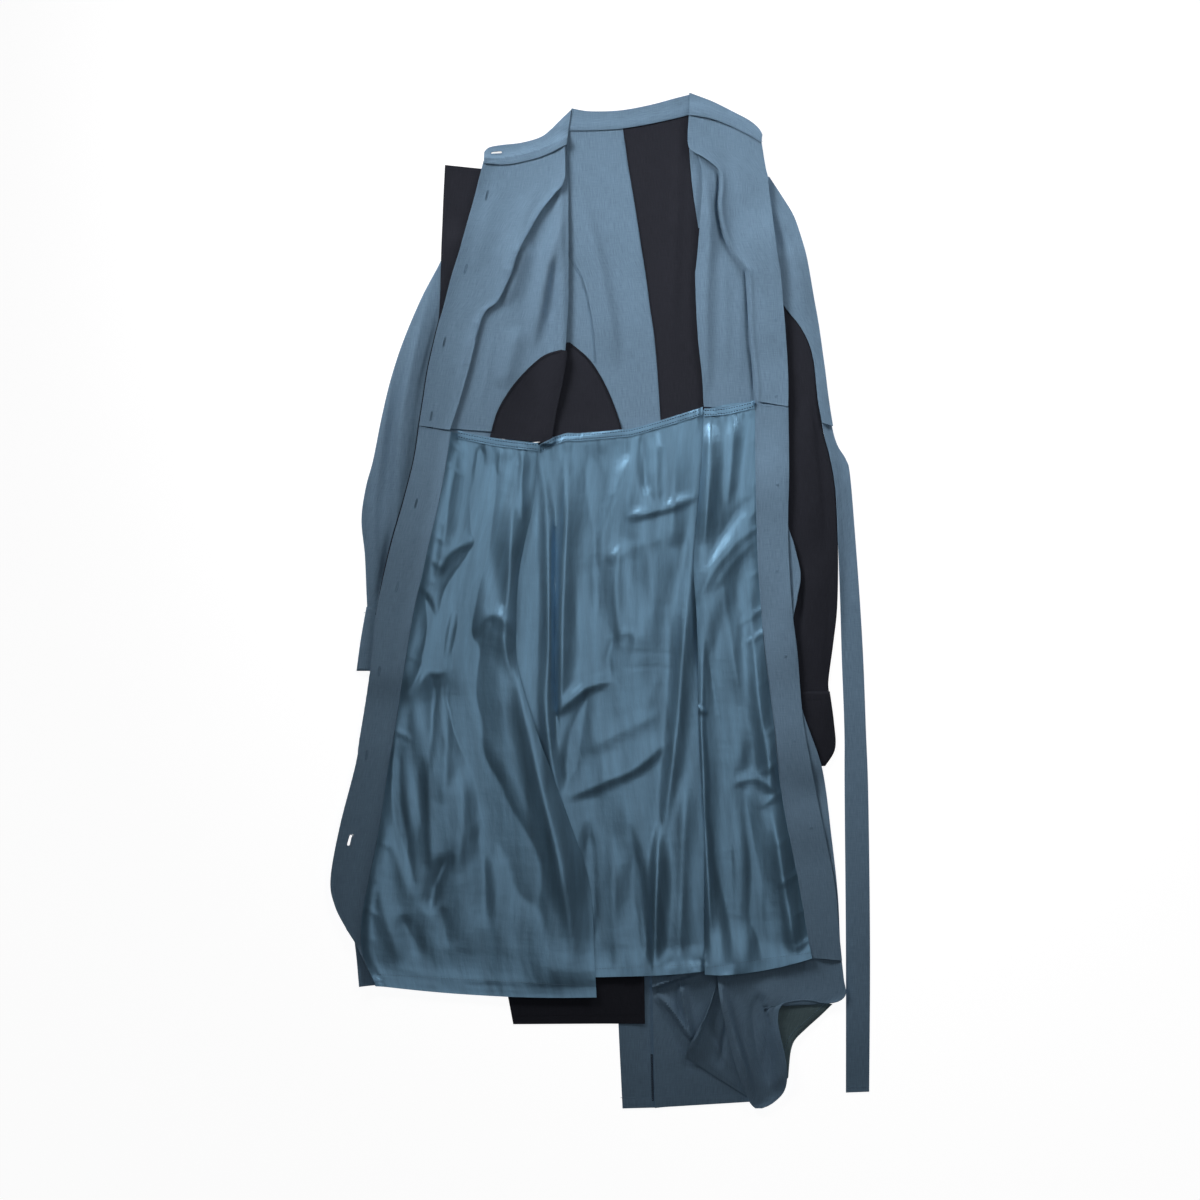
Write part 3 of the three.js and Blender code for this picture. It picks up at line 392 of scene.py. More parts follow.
# Each fold is its centre line, its half width, its height (below zero for a trough) and its lean: the side
# to the left of the line is wider above zero and steeper below.
FOLDS = {
    "left_front": (
        (((-46, 540), (-47, 440), (-45, 360), (-47, 288), (-54, 200)), 12, 8, 0),
        (((-46, 462), (-60, 406), (-71, 354), (-80, 300)), 12, 8.5, -0.2),
        (((-54, 412), (-59, 370), (-62, 330)), 9, -5, 0.2),
        (((-84, 432), (-98, 396), (-114, 350)), 15, 5, 0),
        (((-125, 336), (-136, 264), (-144, 228)), 4, 1.3, 0),
        (((-96, 330), (-106, 290), (-116, 250)), 16, 4, -0.2),
    ),
    "left_facing": (
        (((-72, 500), (-96, 440), (-118, 372)), 16, 2.5, 0),
        (((-150, 330), (-164, 280), (-174, 236)), 12, 1.5, 0),
        (((-120, 505), (-134, 450), (-150, 390)), 18, 1.5, -0.2),
    ),
    "right_front": (
        (((126, 520), (131, 444), (127, 360), (130, 240)), 13, 8, 0),
        (((146, 420), (150, 350), (152, 270)), 14, 3, 0),
        (((166, 380), (168, 320), (166, 262)), 10, 1.5, 0),
        (
            ((131, 521), (141, 511), (142, 494), (140, 471), (145, 443), (156, 418), (170, 398)),
            3.2, -3.5, 0,
        ),
        (
            ((156, 418), (170, 398), (175, 386), (178, 318), (183, 270), (185, 240), (186, 222)),
            3.2, -3.0, 0,
        ),
    ),
    "right_facing": (
        (
            ((138, 523), (145, 513), (146.5, 494), (144.5, 471), (149.5, 443), (160, 420.5), (174, 400)),
            3, 1.7, 0.4,
        ),
        (
            ((160, 420.5), (174, 400), (179.3, 386), (182.4, 318), (187.4, 270), (189.5, 240), (190, 224)),
            3, 1.7, 0.4,
        ),
        (((158, 545), (170, 480), (190, 410), (204, 340)), 18, 3, 0.3),
        (((200, 470), (206, 400), (210, 330)), 12, 1.5, 0),
    ),
    "left_lining": (
        (((-115, 178), (-134, 138), (-142, 84), (-149, 30), (-161, -14), (-176, -60)), 22, -7, -0.2),
        (((-150, 0), (-158, -40), (-170, -80), (-175, -124), (-158, -172), (-137, -220)), 30, -8, 0.4),
        (((-150, -160), (-139, -200), (-122, -244), (-98, -294), (-79, -348), (-60, -420)), 26, -7, -0.25),
        (((-100, 176), (-106, 84), (-110, 12), (-114, -48), (-104, -100)), 16, 6, 0.1),
        (((-104, -60), (-96, -108), (-78, -192), (-58, -276), (-41, -360), (-28, -440)), 20, 7, 0.2),
        (((-156, -70), (-148, -36), (-132, -17), (-113, -26), (-98, -50)), 12, 3.0, 0),
        (((-151, 66), (-173, 24), (-185, -12), (-194, -60), (-199, -120), (-206, -220)), 14, -5.5, -0.25),
        (((-196, 26), (-180, 56), (-158, 68), (-138, 66)), 11, 2.4, 0.2),
        (((-222, 22), (-204, -12), (-206, -60), (-230, -116)), 9, -3.5, -0.2),
        (((-240, -100), (-248, -180), (-245, -240), (-232, -300), (-220, -360)), 13, -4, 0.1),
        (((-138, -262), (-139, -320), (-134, -400)), 15, -3, -0.2),
        (((-176, -300), (-197, -340), (-204, -380)), 12, -3, -0.2),
        (((-194, -364), (-180, -420)), 12, -1.4, 0),
        (((-240, -376), (-214, -430)), 12, -1.4, 0),
        (((-168, 186), (-178, 132), (-187, 72), (-200, 10)), 11, 3, 0),
        (((-142, 187), (-146, 140)), 7, -2.5, 0),
        (((-118, 184), (-122, 150)), 5, 1.5, 0),
        (((-90, 184), (-94, 140), (-92, 90)), 7, 3, 0),
        (((-176, -90), (-184, -170), (-186, -250)), 15, 3, 0),
        (((-206, -180), (-204, -270), (-194, -350)), 14, 3, 0.2),
        (((-166, -200), (-164, -260), (-172, -330)), 16, 2.5, 0),
        (((-250, -436), (-200, -452), (-130, -456), (-50, -462)), 20, 1.6, 0),
        (((-262, -290), (-262, -360), (-236, -440)), 14, 1.5, 0),
    ),
    "back_lining": (
        (
            ((-73, 184), (-65, 120), (-62, 48), (-62, -48), (-65, -120), (-58, -192), (-44, -270)),
            9.5, 6, 0.1,
        ),
        (((-41, 190), (-40, 120), (-43, 48), (-46, -24), (-48, -96), (-55, -170)), 12, 8, 0.3),
        (((-54, 130), (-54, 0), (-53, -96), (-53, -200)), 4.5, -5, 0),
        (((-12, 194), (-8, 120), (-4, 48), (-4, -40)), 15, -4, 0),
        (((46, 190), (26, 144), (4, 84), (-2, 30)), 15, 3.2, -0.1),
        (((24, 80), (19, 12), (24, -64)), 12, 3, 0.2),
        (((51, 200), (56, 118)), 6.5, -3.5, -0.2),
        (((66, 204), (68, 104)), 9, 3, 0.3),
        (((88, 210), (88, 110), (84, 60)), 17, 3.5, 0.1),
        (((30, 96), (52, 103), (86, 112), (124, 128)), 9, 3, 0.25),
        (((4, 48), (34, 60), (80, 76)), 12, 1.4, 0),
        (((-56, -140), (-36, -120), (-10, -102), (18, -96)), 9, 3.6, 0),
        (((14, -94), (10, -66), (26, -30)), 6, -1.3, 0),
        (((12, -54), (28, -39), (42, -44), (40, -72)), 6.5, 1.0, 0),
        (((-44, -240), (0, -220), (44, -200), (92, -160)), 16, 3.6, 0.4),
        (((-30, -184), (20, -160), (76, -134)), 13, 1.4, 0),
        (((-10, -90), (-29, -162), (-44, -236)), 12, -4, 0.1),
        (((-14, -262), (-12, -336), (-14, -430)), 11, -3, -0.1),
        (((36, -264), (46, -336), (52, -396), (55, -450)), 14, -4, -0.3),
        (((70, -262), (66, -360), (64, -450)), 10, 5, 0.4),
        (((116, 130), (104, 0), (97, -72), (92, -144), (82, -230), (72, -300)), 13, 7, 0.2),
        (((103, -200), (98, -336), (94, -450)), 13, 3, 0),
        (((14, -280), (16, -360), (22, -450)), 14, 2, 0),
        (((60, 80), (62, 0), (72, -90)), 22, 2, 0),
        (((14, -66), (60, -63), (102, -66)), 2.6, -0.35, 0),
        (((14, -84), (60, -80), (110, -86)), 2.6, -0.3, 0),
    ),
    "right_lining": (
        (((112, -8), (134, 34), (154, 60), (188, 92)), 17, 3.4, 0.2),
        (((124, 36), (150, 84), (188, 130)), 12, -2.5, 0),
        (((134, 10), (162, 48), (190, 76)), 9, 1.2, 0),
        (((134, 224), (130, 150), (124, 60)), 11, 5, 0.1),
        (((160, 224), (158, 170), (152, 110)), 10, 3, 0),
        (((127, -10), (130, -120), (139, -216), (146, -300), (154, -384), (160, -446)), 18, -6, 0.1),
        (((124, -40), (122, -180), (128, -320), (132, -446)), 9, 5, 0),
        (((180, 0), (190, -120), (208, -240)), 15, 5, 0.2),
        (((158, -222), (186, -213), (216, -234)), 9, 2, 0),
        (((206, -250), (222, -350), (236, -436)), 14, 5, 0),
        (((112, -124), (124, -133), (144, -138)), 4.5, 2, 0),
        (((146, 40), (156, -40), (168, -130)), 14, 2.5, 0),
        (((172, -220), (184, -330), (192, -440)), 16, -4, 0),
    ),
    "right_skirt": (
        (((142, -450), (150, -484), (164, -532), (186, -602)), 9, 13, -0.4),
        (((212, -500), (216, -540), (212, -590)), 12, 5, 0),
        (((190, -466), (192, -520), (204, -584)), 16, -9, 0.2),
        (((240, -300), (250, -380), (262, -450)), 14, 3, 0),
        (((228, -490), (224, -520), (226, -560)), 7, 4, 0),
    ),
    "back_skirt_blue": (
        (((56, -467), (80, -457), (100, -450), (120, -446)), 6, 10, 0.5),
        (((60, -475), (84, -466), (110, -459)), 3, -3.5, 0),
        (((66, -470), (84, -489), (100, -512), (116, -536)), 4.6, 9, 0.4),
        (((62, -478), (80, -500), (98, -526)), 3.4, -3, 0),
        (((94, -446), (98, -476), (104, -502), (110, -530)), 5, 9, 0.4),
        (((88, -462), (92, -486), (98, -508)), 3, -3, 0),
        (((90, -510), (100, -540), (112, -570)), 5, -2.5, 0),
    ),
    "right_hem_turn": (
        (((138, -460), (122, -504), (108, -544)), 6, 8, -0.5),
        (((152, -500), (146, -540), (140, -562)), 5, -3.5, 0),
        (((130, -520), (150, -548), (172, -572)), 4, 2.0, 0),
    ),
    "left_sleeve": (
        (((-196, 390), (-222, 300), (-238, 210), (-244, 90), (-232, 10)), 13, 8, 0.2),
        (((-244, 300), (-262, 180), (-270, 90), (-262, 10)), 8, 4, 0),
        (((-218, 326), (-236, 267), (-247, 215), (-252, 160), (-256, 110)), 6, -3.2, 0),
        (((-234, 170), (-243, 130), (-250, 93), (-260, 33), (-266, -8)), 5, -3, 0),
        (((-272, 130), (-272, 60), (-270, 0)), 6, 2.5, 0),
        (((-189, 366), (-196, 326), (-207, 278), (-213, 240), (-218, 208)), 3.6, -3.4, 0),
        (
            ((-214, 226), (-218, 208), (-224, 168), (-236, 120), (-250, 71), (-261, 26), (-270, -14)),
            3.6, -3.4, 0,
        ),
    ),
    "right_sleeve": (
        (((248, 250), (256, 150), (262, 60)), 9, 5, -0.2),
        (((240, 60), (250, -20), (252, -90)), 8, 5, 0),
        (((268, 60), (266, -20), (264, -100)), 6, 2, 0),
        (((236, 70), (242, 10), (236, -40)), 6, -2, 0),
    ),
    "right_cuff": (
        (((238, -114), (244, -150), (250, -190)), 4, 1.5, 0),
        (((252, -114), (256, -150), (258, -188)), 4, 1.2, 0),
        (((264, -112), (270, -150), (268, -180)), 4, 1.5, 0),
    ),
    "right_sleeve_blue": (
        (((206, 480), (222, 440), (240, 380), (250, 330)), 12, 3.5, -0.2),
        (((212, 440), (222, 400), (236, 350)), 6, -1.5, 0),
    ),
    "back_centre": (
        (((-24, 492), (-2, 408), (12, 336), (22, 276)), 16, 6, -0.35),
        (((50, 480), (44, 400), (50, 300)), 20, 1, 0),
    ),
    "back_inset": (
        (((96, 560), (92, 460), (88, 310)), 9, 1.5, 0),
        (((70, 520), (80, 400), (92, 260)), 14, 1, 0),
    ),
    "tie_belt": ((((274, 215), (284, 196), (296, 180)), 4, 1.5, 0), (((290, 150), (298, 60)), 6, 1, 0)),
}


# ---------------------------------------------------------------- surfaces


def spline(points, at):
    """Uniform Catmull-Rom curve through the points at parameters 0 to 1: a cubic between each two points,
    whose slope at a point is half the step between its neighbours."""
    p = np.asarray(points, float)
    t = np.asarray(at) * (len(p) - 1)
    i = np.minimum(t.astype(int), len(p) - 2)
    f = (t - i)[:, None]
    p0, p1, p2, p3 = p[np.maximum(i - 1, 0)], p[i], p[i + 1], p[np.minimum(i + 2, len(p) - 1)]
    v0, v1 = (p2 - p0) / 2, (p3 - p1) / 2
    return (2 * p1 - 2 * p2 + v0 + v1) * f**3 + (-3 * p1 + 3 * p2 - 2 * v0 - v1) * f**2 + v0 * f + p1


def evenly(left, right, spacing):
    """Curve parameters whose midpoints between the two edges are about one spacing apart."""
    dense = np.linspace(0, 1, 600)
    middle = (spline(left, dense) + spline(right, dense)) / 2
    run = np.concatenate([[0], np.cumsum(np.hypot(*np.diff(middle, axis=0).T))])
    return np.interp(np.linspace(0, run[-1], max(3, round(run[-1] / spacing) + 1)), run, dense)


def between(left, right, spacing, bow):
    """Grid from the left to the right edge. Row s of 0 to 1 is a straight line between the edges, raised in
    the middle by a parabola that is bow[0] high at the first row, bow[1] at the last and 0 in the middle
    third."""
    s = evenly(left, right, spacing)
    a, b = spline(left, s), spline(right, s)
    widest = np.hypot(*(b - a).T).max()
    u = np.linspace(0, 1, max(3, round(widest / spacing) + 1))
    rise = bow[0] * np.maximum(0, 1 - 3 * s) + bow[1] * np.maximum(0, 3 * s - 2)
    x = a[:, :1] * (1 - u) + b[:, :1] * u
    y = a[:, 1:] * (1 - u) + b[:, 1:] * u + rise[:, None] * 4 * u * (1 - u)
    return x, y


def relief(x, y, folds):
    """Sum over the folds of height × (1 − distance to the centre line over the foot's width)², rounded at the
    crest. The lean makes the foot wider on one side, and towards both ends height and width fade smoothly."""
    total = np.zeros_like(x)
    for line, half, height, lean in folds:
        points = spline(line, np.linspace(0, 1, 4 * len(line)))
        a, d = points[:-1], np.diff(points, axis=0)
        px, py = x[..., None] - a[:, 0], y[..., None] - a[:, 1]
        t = np.clip((px * d[:, 0] + py * d[:, 1]) / (d**2).sum(1), 0, 1)
        away = np.hypot(px - t * d[:, 0], py - t * d[:, 1])
        k = away.argmin(-1)[..., None]
        away = np.take_along_axis(away, k, -1)[..., 0]
        side = np.sign(np.take_along_axis(d[:, 0] * py - d[:, 1] * px, k, -1)[..., 0])
        along = (k + np.take_along_axis(t, k, -1))[..., 0] / len(d)
        end = np.clip(np.minimum(along, 1 - along) * FADE, 0, 1)
        end = end * end * (3 - 2 * end)
        foot = FOOT * half * (1 + lean * side) * (0.55 + 0.45 * end)
        near = np.minimum(np.sqrt((away / foot) ** 2 + CREST), 1)
        total += height * (1 - near) ** 2 * CREST_HEIGHT * end
    return total


def puckers(line, at, reach, seed):
    """Short folds that start on a line at shares of its length and run off by the reach, unevenly."""
    rng = np.random.default_rng(seed)
    starts = spline(line, np.asarray(at))
    folds = []
    for (x, y), size, drift in zip(starts, rng.uniform(0.5, 1.5, len(at)), rng.uniform(-3, 3, len(at))):
        tip = (x + reach[0] * size + drift, y + reach[1] * size + drift / 2)
        middle = ((x + tip[0]) / 2 + drift / 2, (y + tip[1]) / 2)
        curve = ((x - reach[0] * 0.25, y - reach[1] * 0.25), (x, y), middle, tip)
        folds.append((curve, 3.6 + size, 0.7 * size, 0))
    return tuple(folds)


def swell(x, y, seed, across, along, height):
    """Sum of five waves across the fall of the cloth, each height × sin(its phase + 1.4 × sin of a longer
    wave), so that the bands wander."""
    rng = np.random.default_rng(seed)
    total = np.zeros_like(x)
    for _ in range(5):
        kx, ky = 2 * np.pi / (across * rng.uniform(0.7, 1.6)), 2 * np.pi / (along * rng.uniform(0.7, 1.6))
        ky *= rng.choice([-1, 1])
        bend = 1.4 * np.sin(kx * 0.4 * x + ky * 2.1 * y + rng.uniform(0, 6.28))
        total += height * rng.uniform(0.3, 1.0) * np.sin(kx * x + ky * y + bend + rng.uniform(0, 6.28))
    return total


def wrinkles(x, y, seed, count, length, half, height, heading=90, swing=25):
    """Short straight folds at random places, within swing degrees of the heading."""
    rng = np.random.default_rng(seed)
    low, high = np.array([x.min(), y.min()]), np.array([x.max(), y.max()])
    centre = low + (high - low) * rng.random((count, 2))
    angle = np.radians(heading + swing * rng.uniform(-1, 1, count))
    reach = length * rng.uniform(0.5, 1.3, count)[:, None] * np.stack([np.cos(angle), np.sin(angle)], 1) / 2
    sizes = zip(half * rng.uniform(0.6, 1.4, count), height * rng.uniform(-1, 1, count))
    return relief(x, y, [((c - r, c + r), h, z, 0) for c, r, (h, z) in zip(centre, reach, sizes)])


def shifted_max(field, cells):
    """Highest value within a square of cells to each side."""
    for axis in (0, 1):
        moved = [np.roll(field, k, axis) for k in range(-cells, cells + 1)]
        field = np.maximum.reduce(moved)
    return field


def running_mean(field, cells):
    """Mean over a square of cells to each side, twice."""
    width = 2 * cells + 1
    for axis in (0, 1, 0, 1):
        moved = np.swapaxes(field, 0, axis)
        total = np.cumsum(np.concatenate([np.zeros_like(moved[:1]), moved]), 0)
        mean = moved.copy()
        mean[cells:-cells] = (total[width:] - total[:-width]) / width
        field = np.swapaxes(mean, 0, axis)
    return field


class Pile:
    """Height of the cloth that is laid so far, on square cells over the surface"""

    cell = 2.0
    half_x = 360.0
    half_y = 650.0

    def __init__(self):
        shape = (int(2 * self.half_y / self.cell), int(2 * self.half_x / self.cell))
        self.top = np.zeros(shape)
        self.next = np.zeros(shape)

    def sample(self, field, x, y):
        """Bilinear value of a field of cells."""
        c = np.clip((x + self.half_x) / self.cell - 0.5, 0, field.shape[1] - 1.001)
        r = np.clip((y + self.half_y) / self.cell - 0.5, 0, field.shape[0] - 1.001)
        i, j = c.astype(int), r.astype(int)
        fc, fr = c - i, r - j
        low = field[j, i] * (1 - fc) + field[j, i + 1] * fc
        high = field[j + 1, i] * (1 - fc) + field[j + 1, i + 1] * fc
        return low * (1 - fr) + high * fr

    def add(self, x, y, z):
        """Raises the next layer's cells to a grid, which is cut into samples less than a cell apart."""
        step = max(np.hypot(np.diff(x, axis=a), np.diff(y, axis=a)).max() for a in (0, 1))
        cuts = int(math.ceil(step / (0.6 * self.cell)))
        u, v = np.meshgrid(np.linspace(0, 1, cuts + 1), np.linspace(0, 1, cuts + 1))

        def split(g):
            g = g[..., None, None]
            a, b, c, d = g[:-1, :-1], g[:-1, 1:], g[1:, :-1], g[1:, 1:]
            return (a * (1 - u) * (1 - v) + b * u * (1 - v) + c * (1 - u) * v + d * u * v).ravel()

        column = ((split(x) + self.half_x) / self.cell).astype(int)
        row = ((split(y) + self.half_y) / self.cell).astype(int)
        np.maximum.at(self.next, (row, column), split(z))

    def close_layer(self):
        self.top = np.maximum(self.top, self.next)


PILE = Pile()


def mesh_object(name, points, faces, uv=None, material=None):
    """Mesh from arrays of points, in millimetres, and of faces with one number of corners."""
    mesh = bpy.data.meshes.new(name)
    count, corners = faces.shape
    mesh.vertices.add(len(points))
    mesh.vertices.foreach_set("co", (points * MM).astype(np.float32).ravel())
    mesh.loops.add(count * corners)
    mesh.loops.foreach_set("vertex_index", faces.astype(np.int32).ravel())
    mesh.polygons.add(count)
    mesh.polygons.foreach_set("loop_start", np.arange(0, count * corners, corners, dtype=np.int32))
    mesh.polygons.foreach_set("use_smooth", np.ones(count, bool))
    if uv is not None:
        layer = mesh.uv_layers.new(name="cloth")
        layer.data.foreach_set("uv", (uv[faces.ravel()] * MM).astype(np.float32).ravel())
    mesh.update(calc_edges=True)
    mesh.validate()
    piece = bpy.data.objects.new(name, mesh)
    bpy.context.scene.collection.objects.link(piece)
    if material:
        mesh.materials.append(material)
    return piece


def grid_faces(rows, columns):
    """Quads of a grid of points, counted so that they face up when rows run down and columns run right."""
    a = (np.arange(rows - 1)[:, None] * columns + np.arange(columns - 1)).ravel()
    return np.stack([a, a + columns, a + columns + 1, a + 1], 1)


def surface_uv(x, y, z):
    """Distance along the cloth from the middle of each row, and down the middle column."""
    across = np.sqrt(np.diff(x, axis=1) ** 2 + np.diff(y, axis=1) ** 2 + np.diff(z, axis=1) ** 2)
    u = np.concatenate([np.zeros((len(x), 1)), np.cumsum(across, 1)], 1)
    u -= u[:, -1:] / 2
    k = x.shape[1] // 2
    step = np.sqrt(np.diff(x[:, k]) ** 2 + np.diff(y[:, k]) ** 2 + np.diff(z[:, k]) ** 2)
    v = np.concatenate([[0], -np.cumsum(step)])
    return np.stack([u.ravel(), np.repeat(v, x.shape[1])], 1)


def plan_area(x, y):
    """Flat area of a grid: half the cross product of each cell's diagonals, summed."""
    d1x, d1y = x[1:, 1:] - x[:-1, :-1], y[1:, 1:] - y[:-1, :-1]
    d2x, d2y = x[1:, :-1] - x[:-1, 1:], y[1:, :-1] - y[:-1, 1:]
    return np.abs(d1x * d2y - d1y * d2x).sum() / 2


def shell(piece, thickness):
    """Gives a surface its wall above it, and rounds the cut edges."""
    wall = piece.modifiers.new("wall", "SOLIDIFY")
    wall.thickness = thickness
    wall.offset = 1.0
    rim = piece.modifiers.new("rim", "BEVEL")
    rim.width = 0.3 * thickness
    rim.segments = 2
    rim.limit_method = "ANGLE"
    rim.angle_limit = math.radians(60)
    rim.harden_normals = True


class Cloth:
    """Upper surface of a laid piece, which sewing follows"""

    def __init__(self, x, y, z):
        (yu, xu, zu), (yv, xv, zv) = [[np.gradient(g, axis=a) for g in (y, x, z)] for a in (1, 0)]
        area = xu * yv - yu * xv
        area = np.where(np.abs(area) < 1e-6, 1e-6, area)
        self.x, self.y, self.z = x.ravel(), y.ravel(), z.ravel()
        self.slope_x = ((zu * yv - yu * zv) / area).ravel()
        self.slope_y = ((xu * zv - zu * xv) / area).ravel()

    def height(self, points):
        """Height of the nearest grid point, carried on along the slope there."""
        k = np.concatenate([
            ((part[:, :1] - self.x) ** 2 + (part[:, 1:] - self.y) ** 2).argmin(1)
            for part in np.array_split(points, max(1, len(points) // 200))
        ])
        east, north = points[:, 0] - self.x[k], points[:, 1] - self.y[k]
        rise = self.slope_x[k] * east + self.slope_y[k] * north
        return self.z[k] + np.clip(rise, -1.5, 1.5)


CLOTHS = {}


def stitches(cloth, path, pitch, length, turn=0, lift=0.12, radius=0.26):
    """Ends of the stitches along a path: every pitch one of the length, turned by so many degrees from it."""
    dense = spline(path, np.linspace(0, 1, 40 * len(path)))
    run = np.concatenate([[0], np.cumsum(np.hypot(*np.diff(dense, axis=0).T))])
    at = np.arange(pitch / 2, run[-1], pitch)
    middle = np.stack([np.interp(at, run, dense[:, k]) for k in (0, 1)], 1)
    way = np.stack([np.interp(at, run[1:], np.diff(dense[:, k])) for k in (0, 1)], 1)
    way /= np.hypot(*way.T)[:, None] + 1e-9
    c, r = math.cos(math.radians(turn)), math.sin(math.radians(turn))
    way = np.stack([way[:, 0] * c - way[:, 1] * r, way[:, 0] * r + way[:, 1] * c], 1)
    ends = [middle - way * length / 2, middle + way * length / 2]
    lifted = [np.concatenate([e, (CLOTHS[cloth].height(e) + lift)[:, None]], 1) for e in ends]
    return lifted[0], lifted[1], np.full(len(at), radius)


def sew(name, slot, runs):
    """One mesh of stitches: each is a four-sided rod with pointed ends, sunk a little in the cloth."""
    start, end, radius = [np.concatenate(part) for part in zip(*runs)]
    way = end - start
    way /= np.linalg.norm(way, axis=1)[:, None]
    side = np.cross(way, (0, 0, 1))
    side /= np.linalg.norm(side, axis=1)[:, None] + 1e-9
    up = np.cross(side, way)
    r = radius[:, None]
    ring = [side * r, up * r, -side * r, -up * r]
    inset = way * r
    first, last = [start + inset + q for q in ring], [end - inset + q for q in ring]
    points = np.stack([start - up * r, *first, *last, end - up * r], 1)
    tris = []
    for k in range(4):
        a, b = 1 + k, 1 + (k + 1) % 4
        tris += [(0, b, a), (a, b, b + 4), (a, b + 4, a + 4), (9, a + 4, b + 4)]
    faces = np.arange(len(points))[:, None, None] * 10 + np.array(tris)
    look = bpy.data.materials[LOOKS[slot]]
    piece = mesh_object(name, points.reshape(-1, 3), faces.reshape(-1, 3), None, look)
    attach(piece, "root")
    return piece


NARROWEST = 0.01  # a narrow strip is cut at least this wide, for its turnings
CUT_EASE = 1.02  # the laid cloth takes up about a fiftieth of its length in folds


def inside(place, points):
    """Whether each point is in a slot of the place's length and width at its heading."""
    x, y, length, width, heading = place
    c, r = math.cos(math.radians(heading)), math.sin(math.radians(heading))
    along = (points[:, 0] - x) * c + (points[:, 1] - y) * r
    across = (points[:, 1] - y) * c - (points[:, 0] - x) * r
    return (np.abs(along) < length / 2) & (np.abs(across) < width / 2)


def lay(
    name, slot, edges, folds=(), bow=(0, 0), loft=0.0, drape=5, spacing=None, texture=None, new_layer=False,
    hem=(0, 0), curl=(0, 0), lift=0.0, holes=(), look=None,
):
    """Lays one cloth piece on the pile: rest height = mean of the highest cloth near by, never lower than
    the cloth right under it, + the gap + the loft, which fades out at the edges, + the folds. A hem of the
    first width at the top and the second at the bottom is thicker. The curl lifts the left and the right
    edge, and the lift the lower one, by the square of the nearness to it. Each hole is its centre, length,
    width and heading."""
    sizes = bpy.context.scene.dress_sizes
    thickness = (sizes.lining if slot == "lining_satin" else sizes.shell) / MM
    if new_layer:
        PILE.close_layer()
    x, y = between(*edges, spacing or sizes.grid / MM, bow)
    strict = PILE.sample(shifted_max(PILE.top, 1), x, y)
    soft = PILE.sample(running_mean(shifted_max(PILE.top, drape), drape), x, y)
    u = np.linspace(0, 1, x.shape[1])
    v = np.linspace(0, 1, x.shape[0])[:, None]
    inner = (1 - (2 * u - 1) ** 6) * (1 - (2 * v - 1) ** 8)
    z = soft + loft * inner + relief(x, y, folds)
    if texture is not None:
        z = z + texture(x, y) * inner
    length = np.hypot(np.diff(x, axis=0), np.diff(y, axis=0)).sum(0).max()
    reach = np.hypot(x[:, -1:] - x[:, :1], y[:, -1:] - y[:, :1])
    for rise, away in zip(curl, (u * reach, (1 - u) * reach)):
        z = z + rise * np.clip(1 - away / CURL_WIDTH, 0, 1) ** 2
    z = z + lift * np.clip(1 - (1 - v) * length / (2 * CURL_WIDTH), 0, 1) ** 2
    for width, away in zip(hem, (v * length, (1 - v) * length)):
        z = z + HEM_RISE * np.clip((width - away) / 2 + 0.5, 0, 1)
    gap = np.where(strict > 0.01, sizes.gap / MM, 0)
    z = np.maximum(z + gap, strict + gap)
    points = np.stack([x.ravel(), y.ravel(), z.ravel()], 1)
    uv = surface_uv(x, y, z)
    faces = grid_faces(*x.shape)
    for place in holes:
        faces = faces[~inside(place, points[faces].mean(1))]
    piece = mesh_object(name + "_cloth", points, faces, uv, bpy.data.materials[look or LOOKS[slot]])
    shell(piece, thickness * MM)
    PILE.add(x, y, z + thickness)
    CLOTHS[name] = Cloth(x, y, z + thickness)
    width = np.hypot(x[:, -1] - x[:, 0], y[:, -1] - y[:, 0]).max()
    area = CUT_EASE * plan_area(x, y)
    flat = (max(CUT_EASE * width * MM, NARROWEST), CUT_EASE * length * MM)
    area = min(area * MM * MM, flat[0] * flat[1])
    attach(piece, "root")
    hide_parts(name)
    return piece


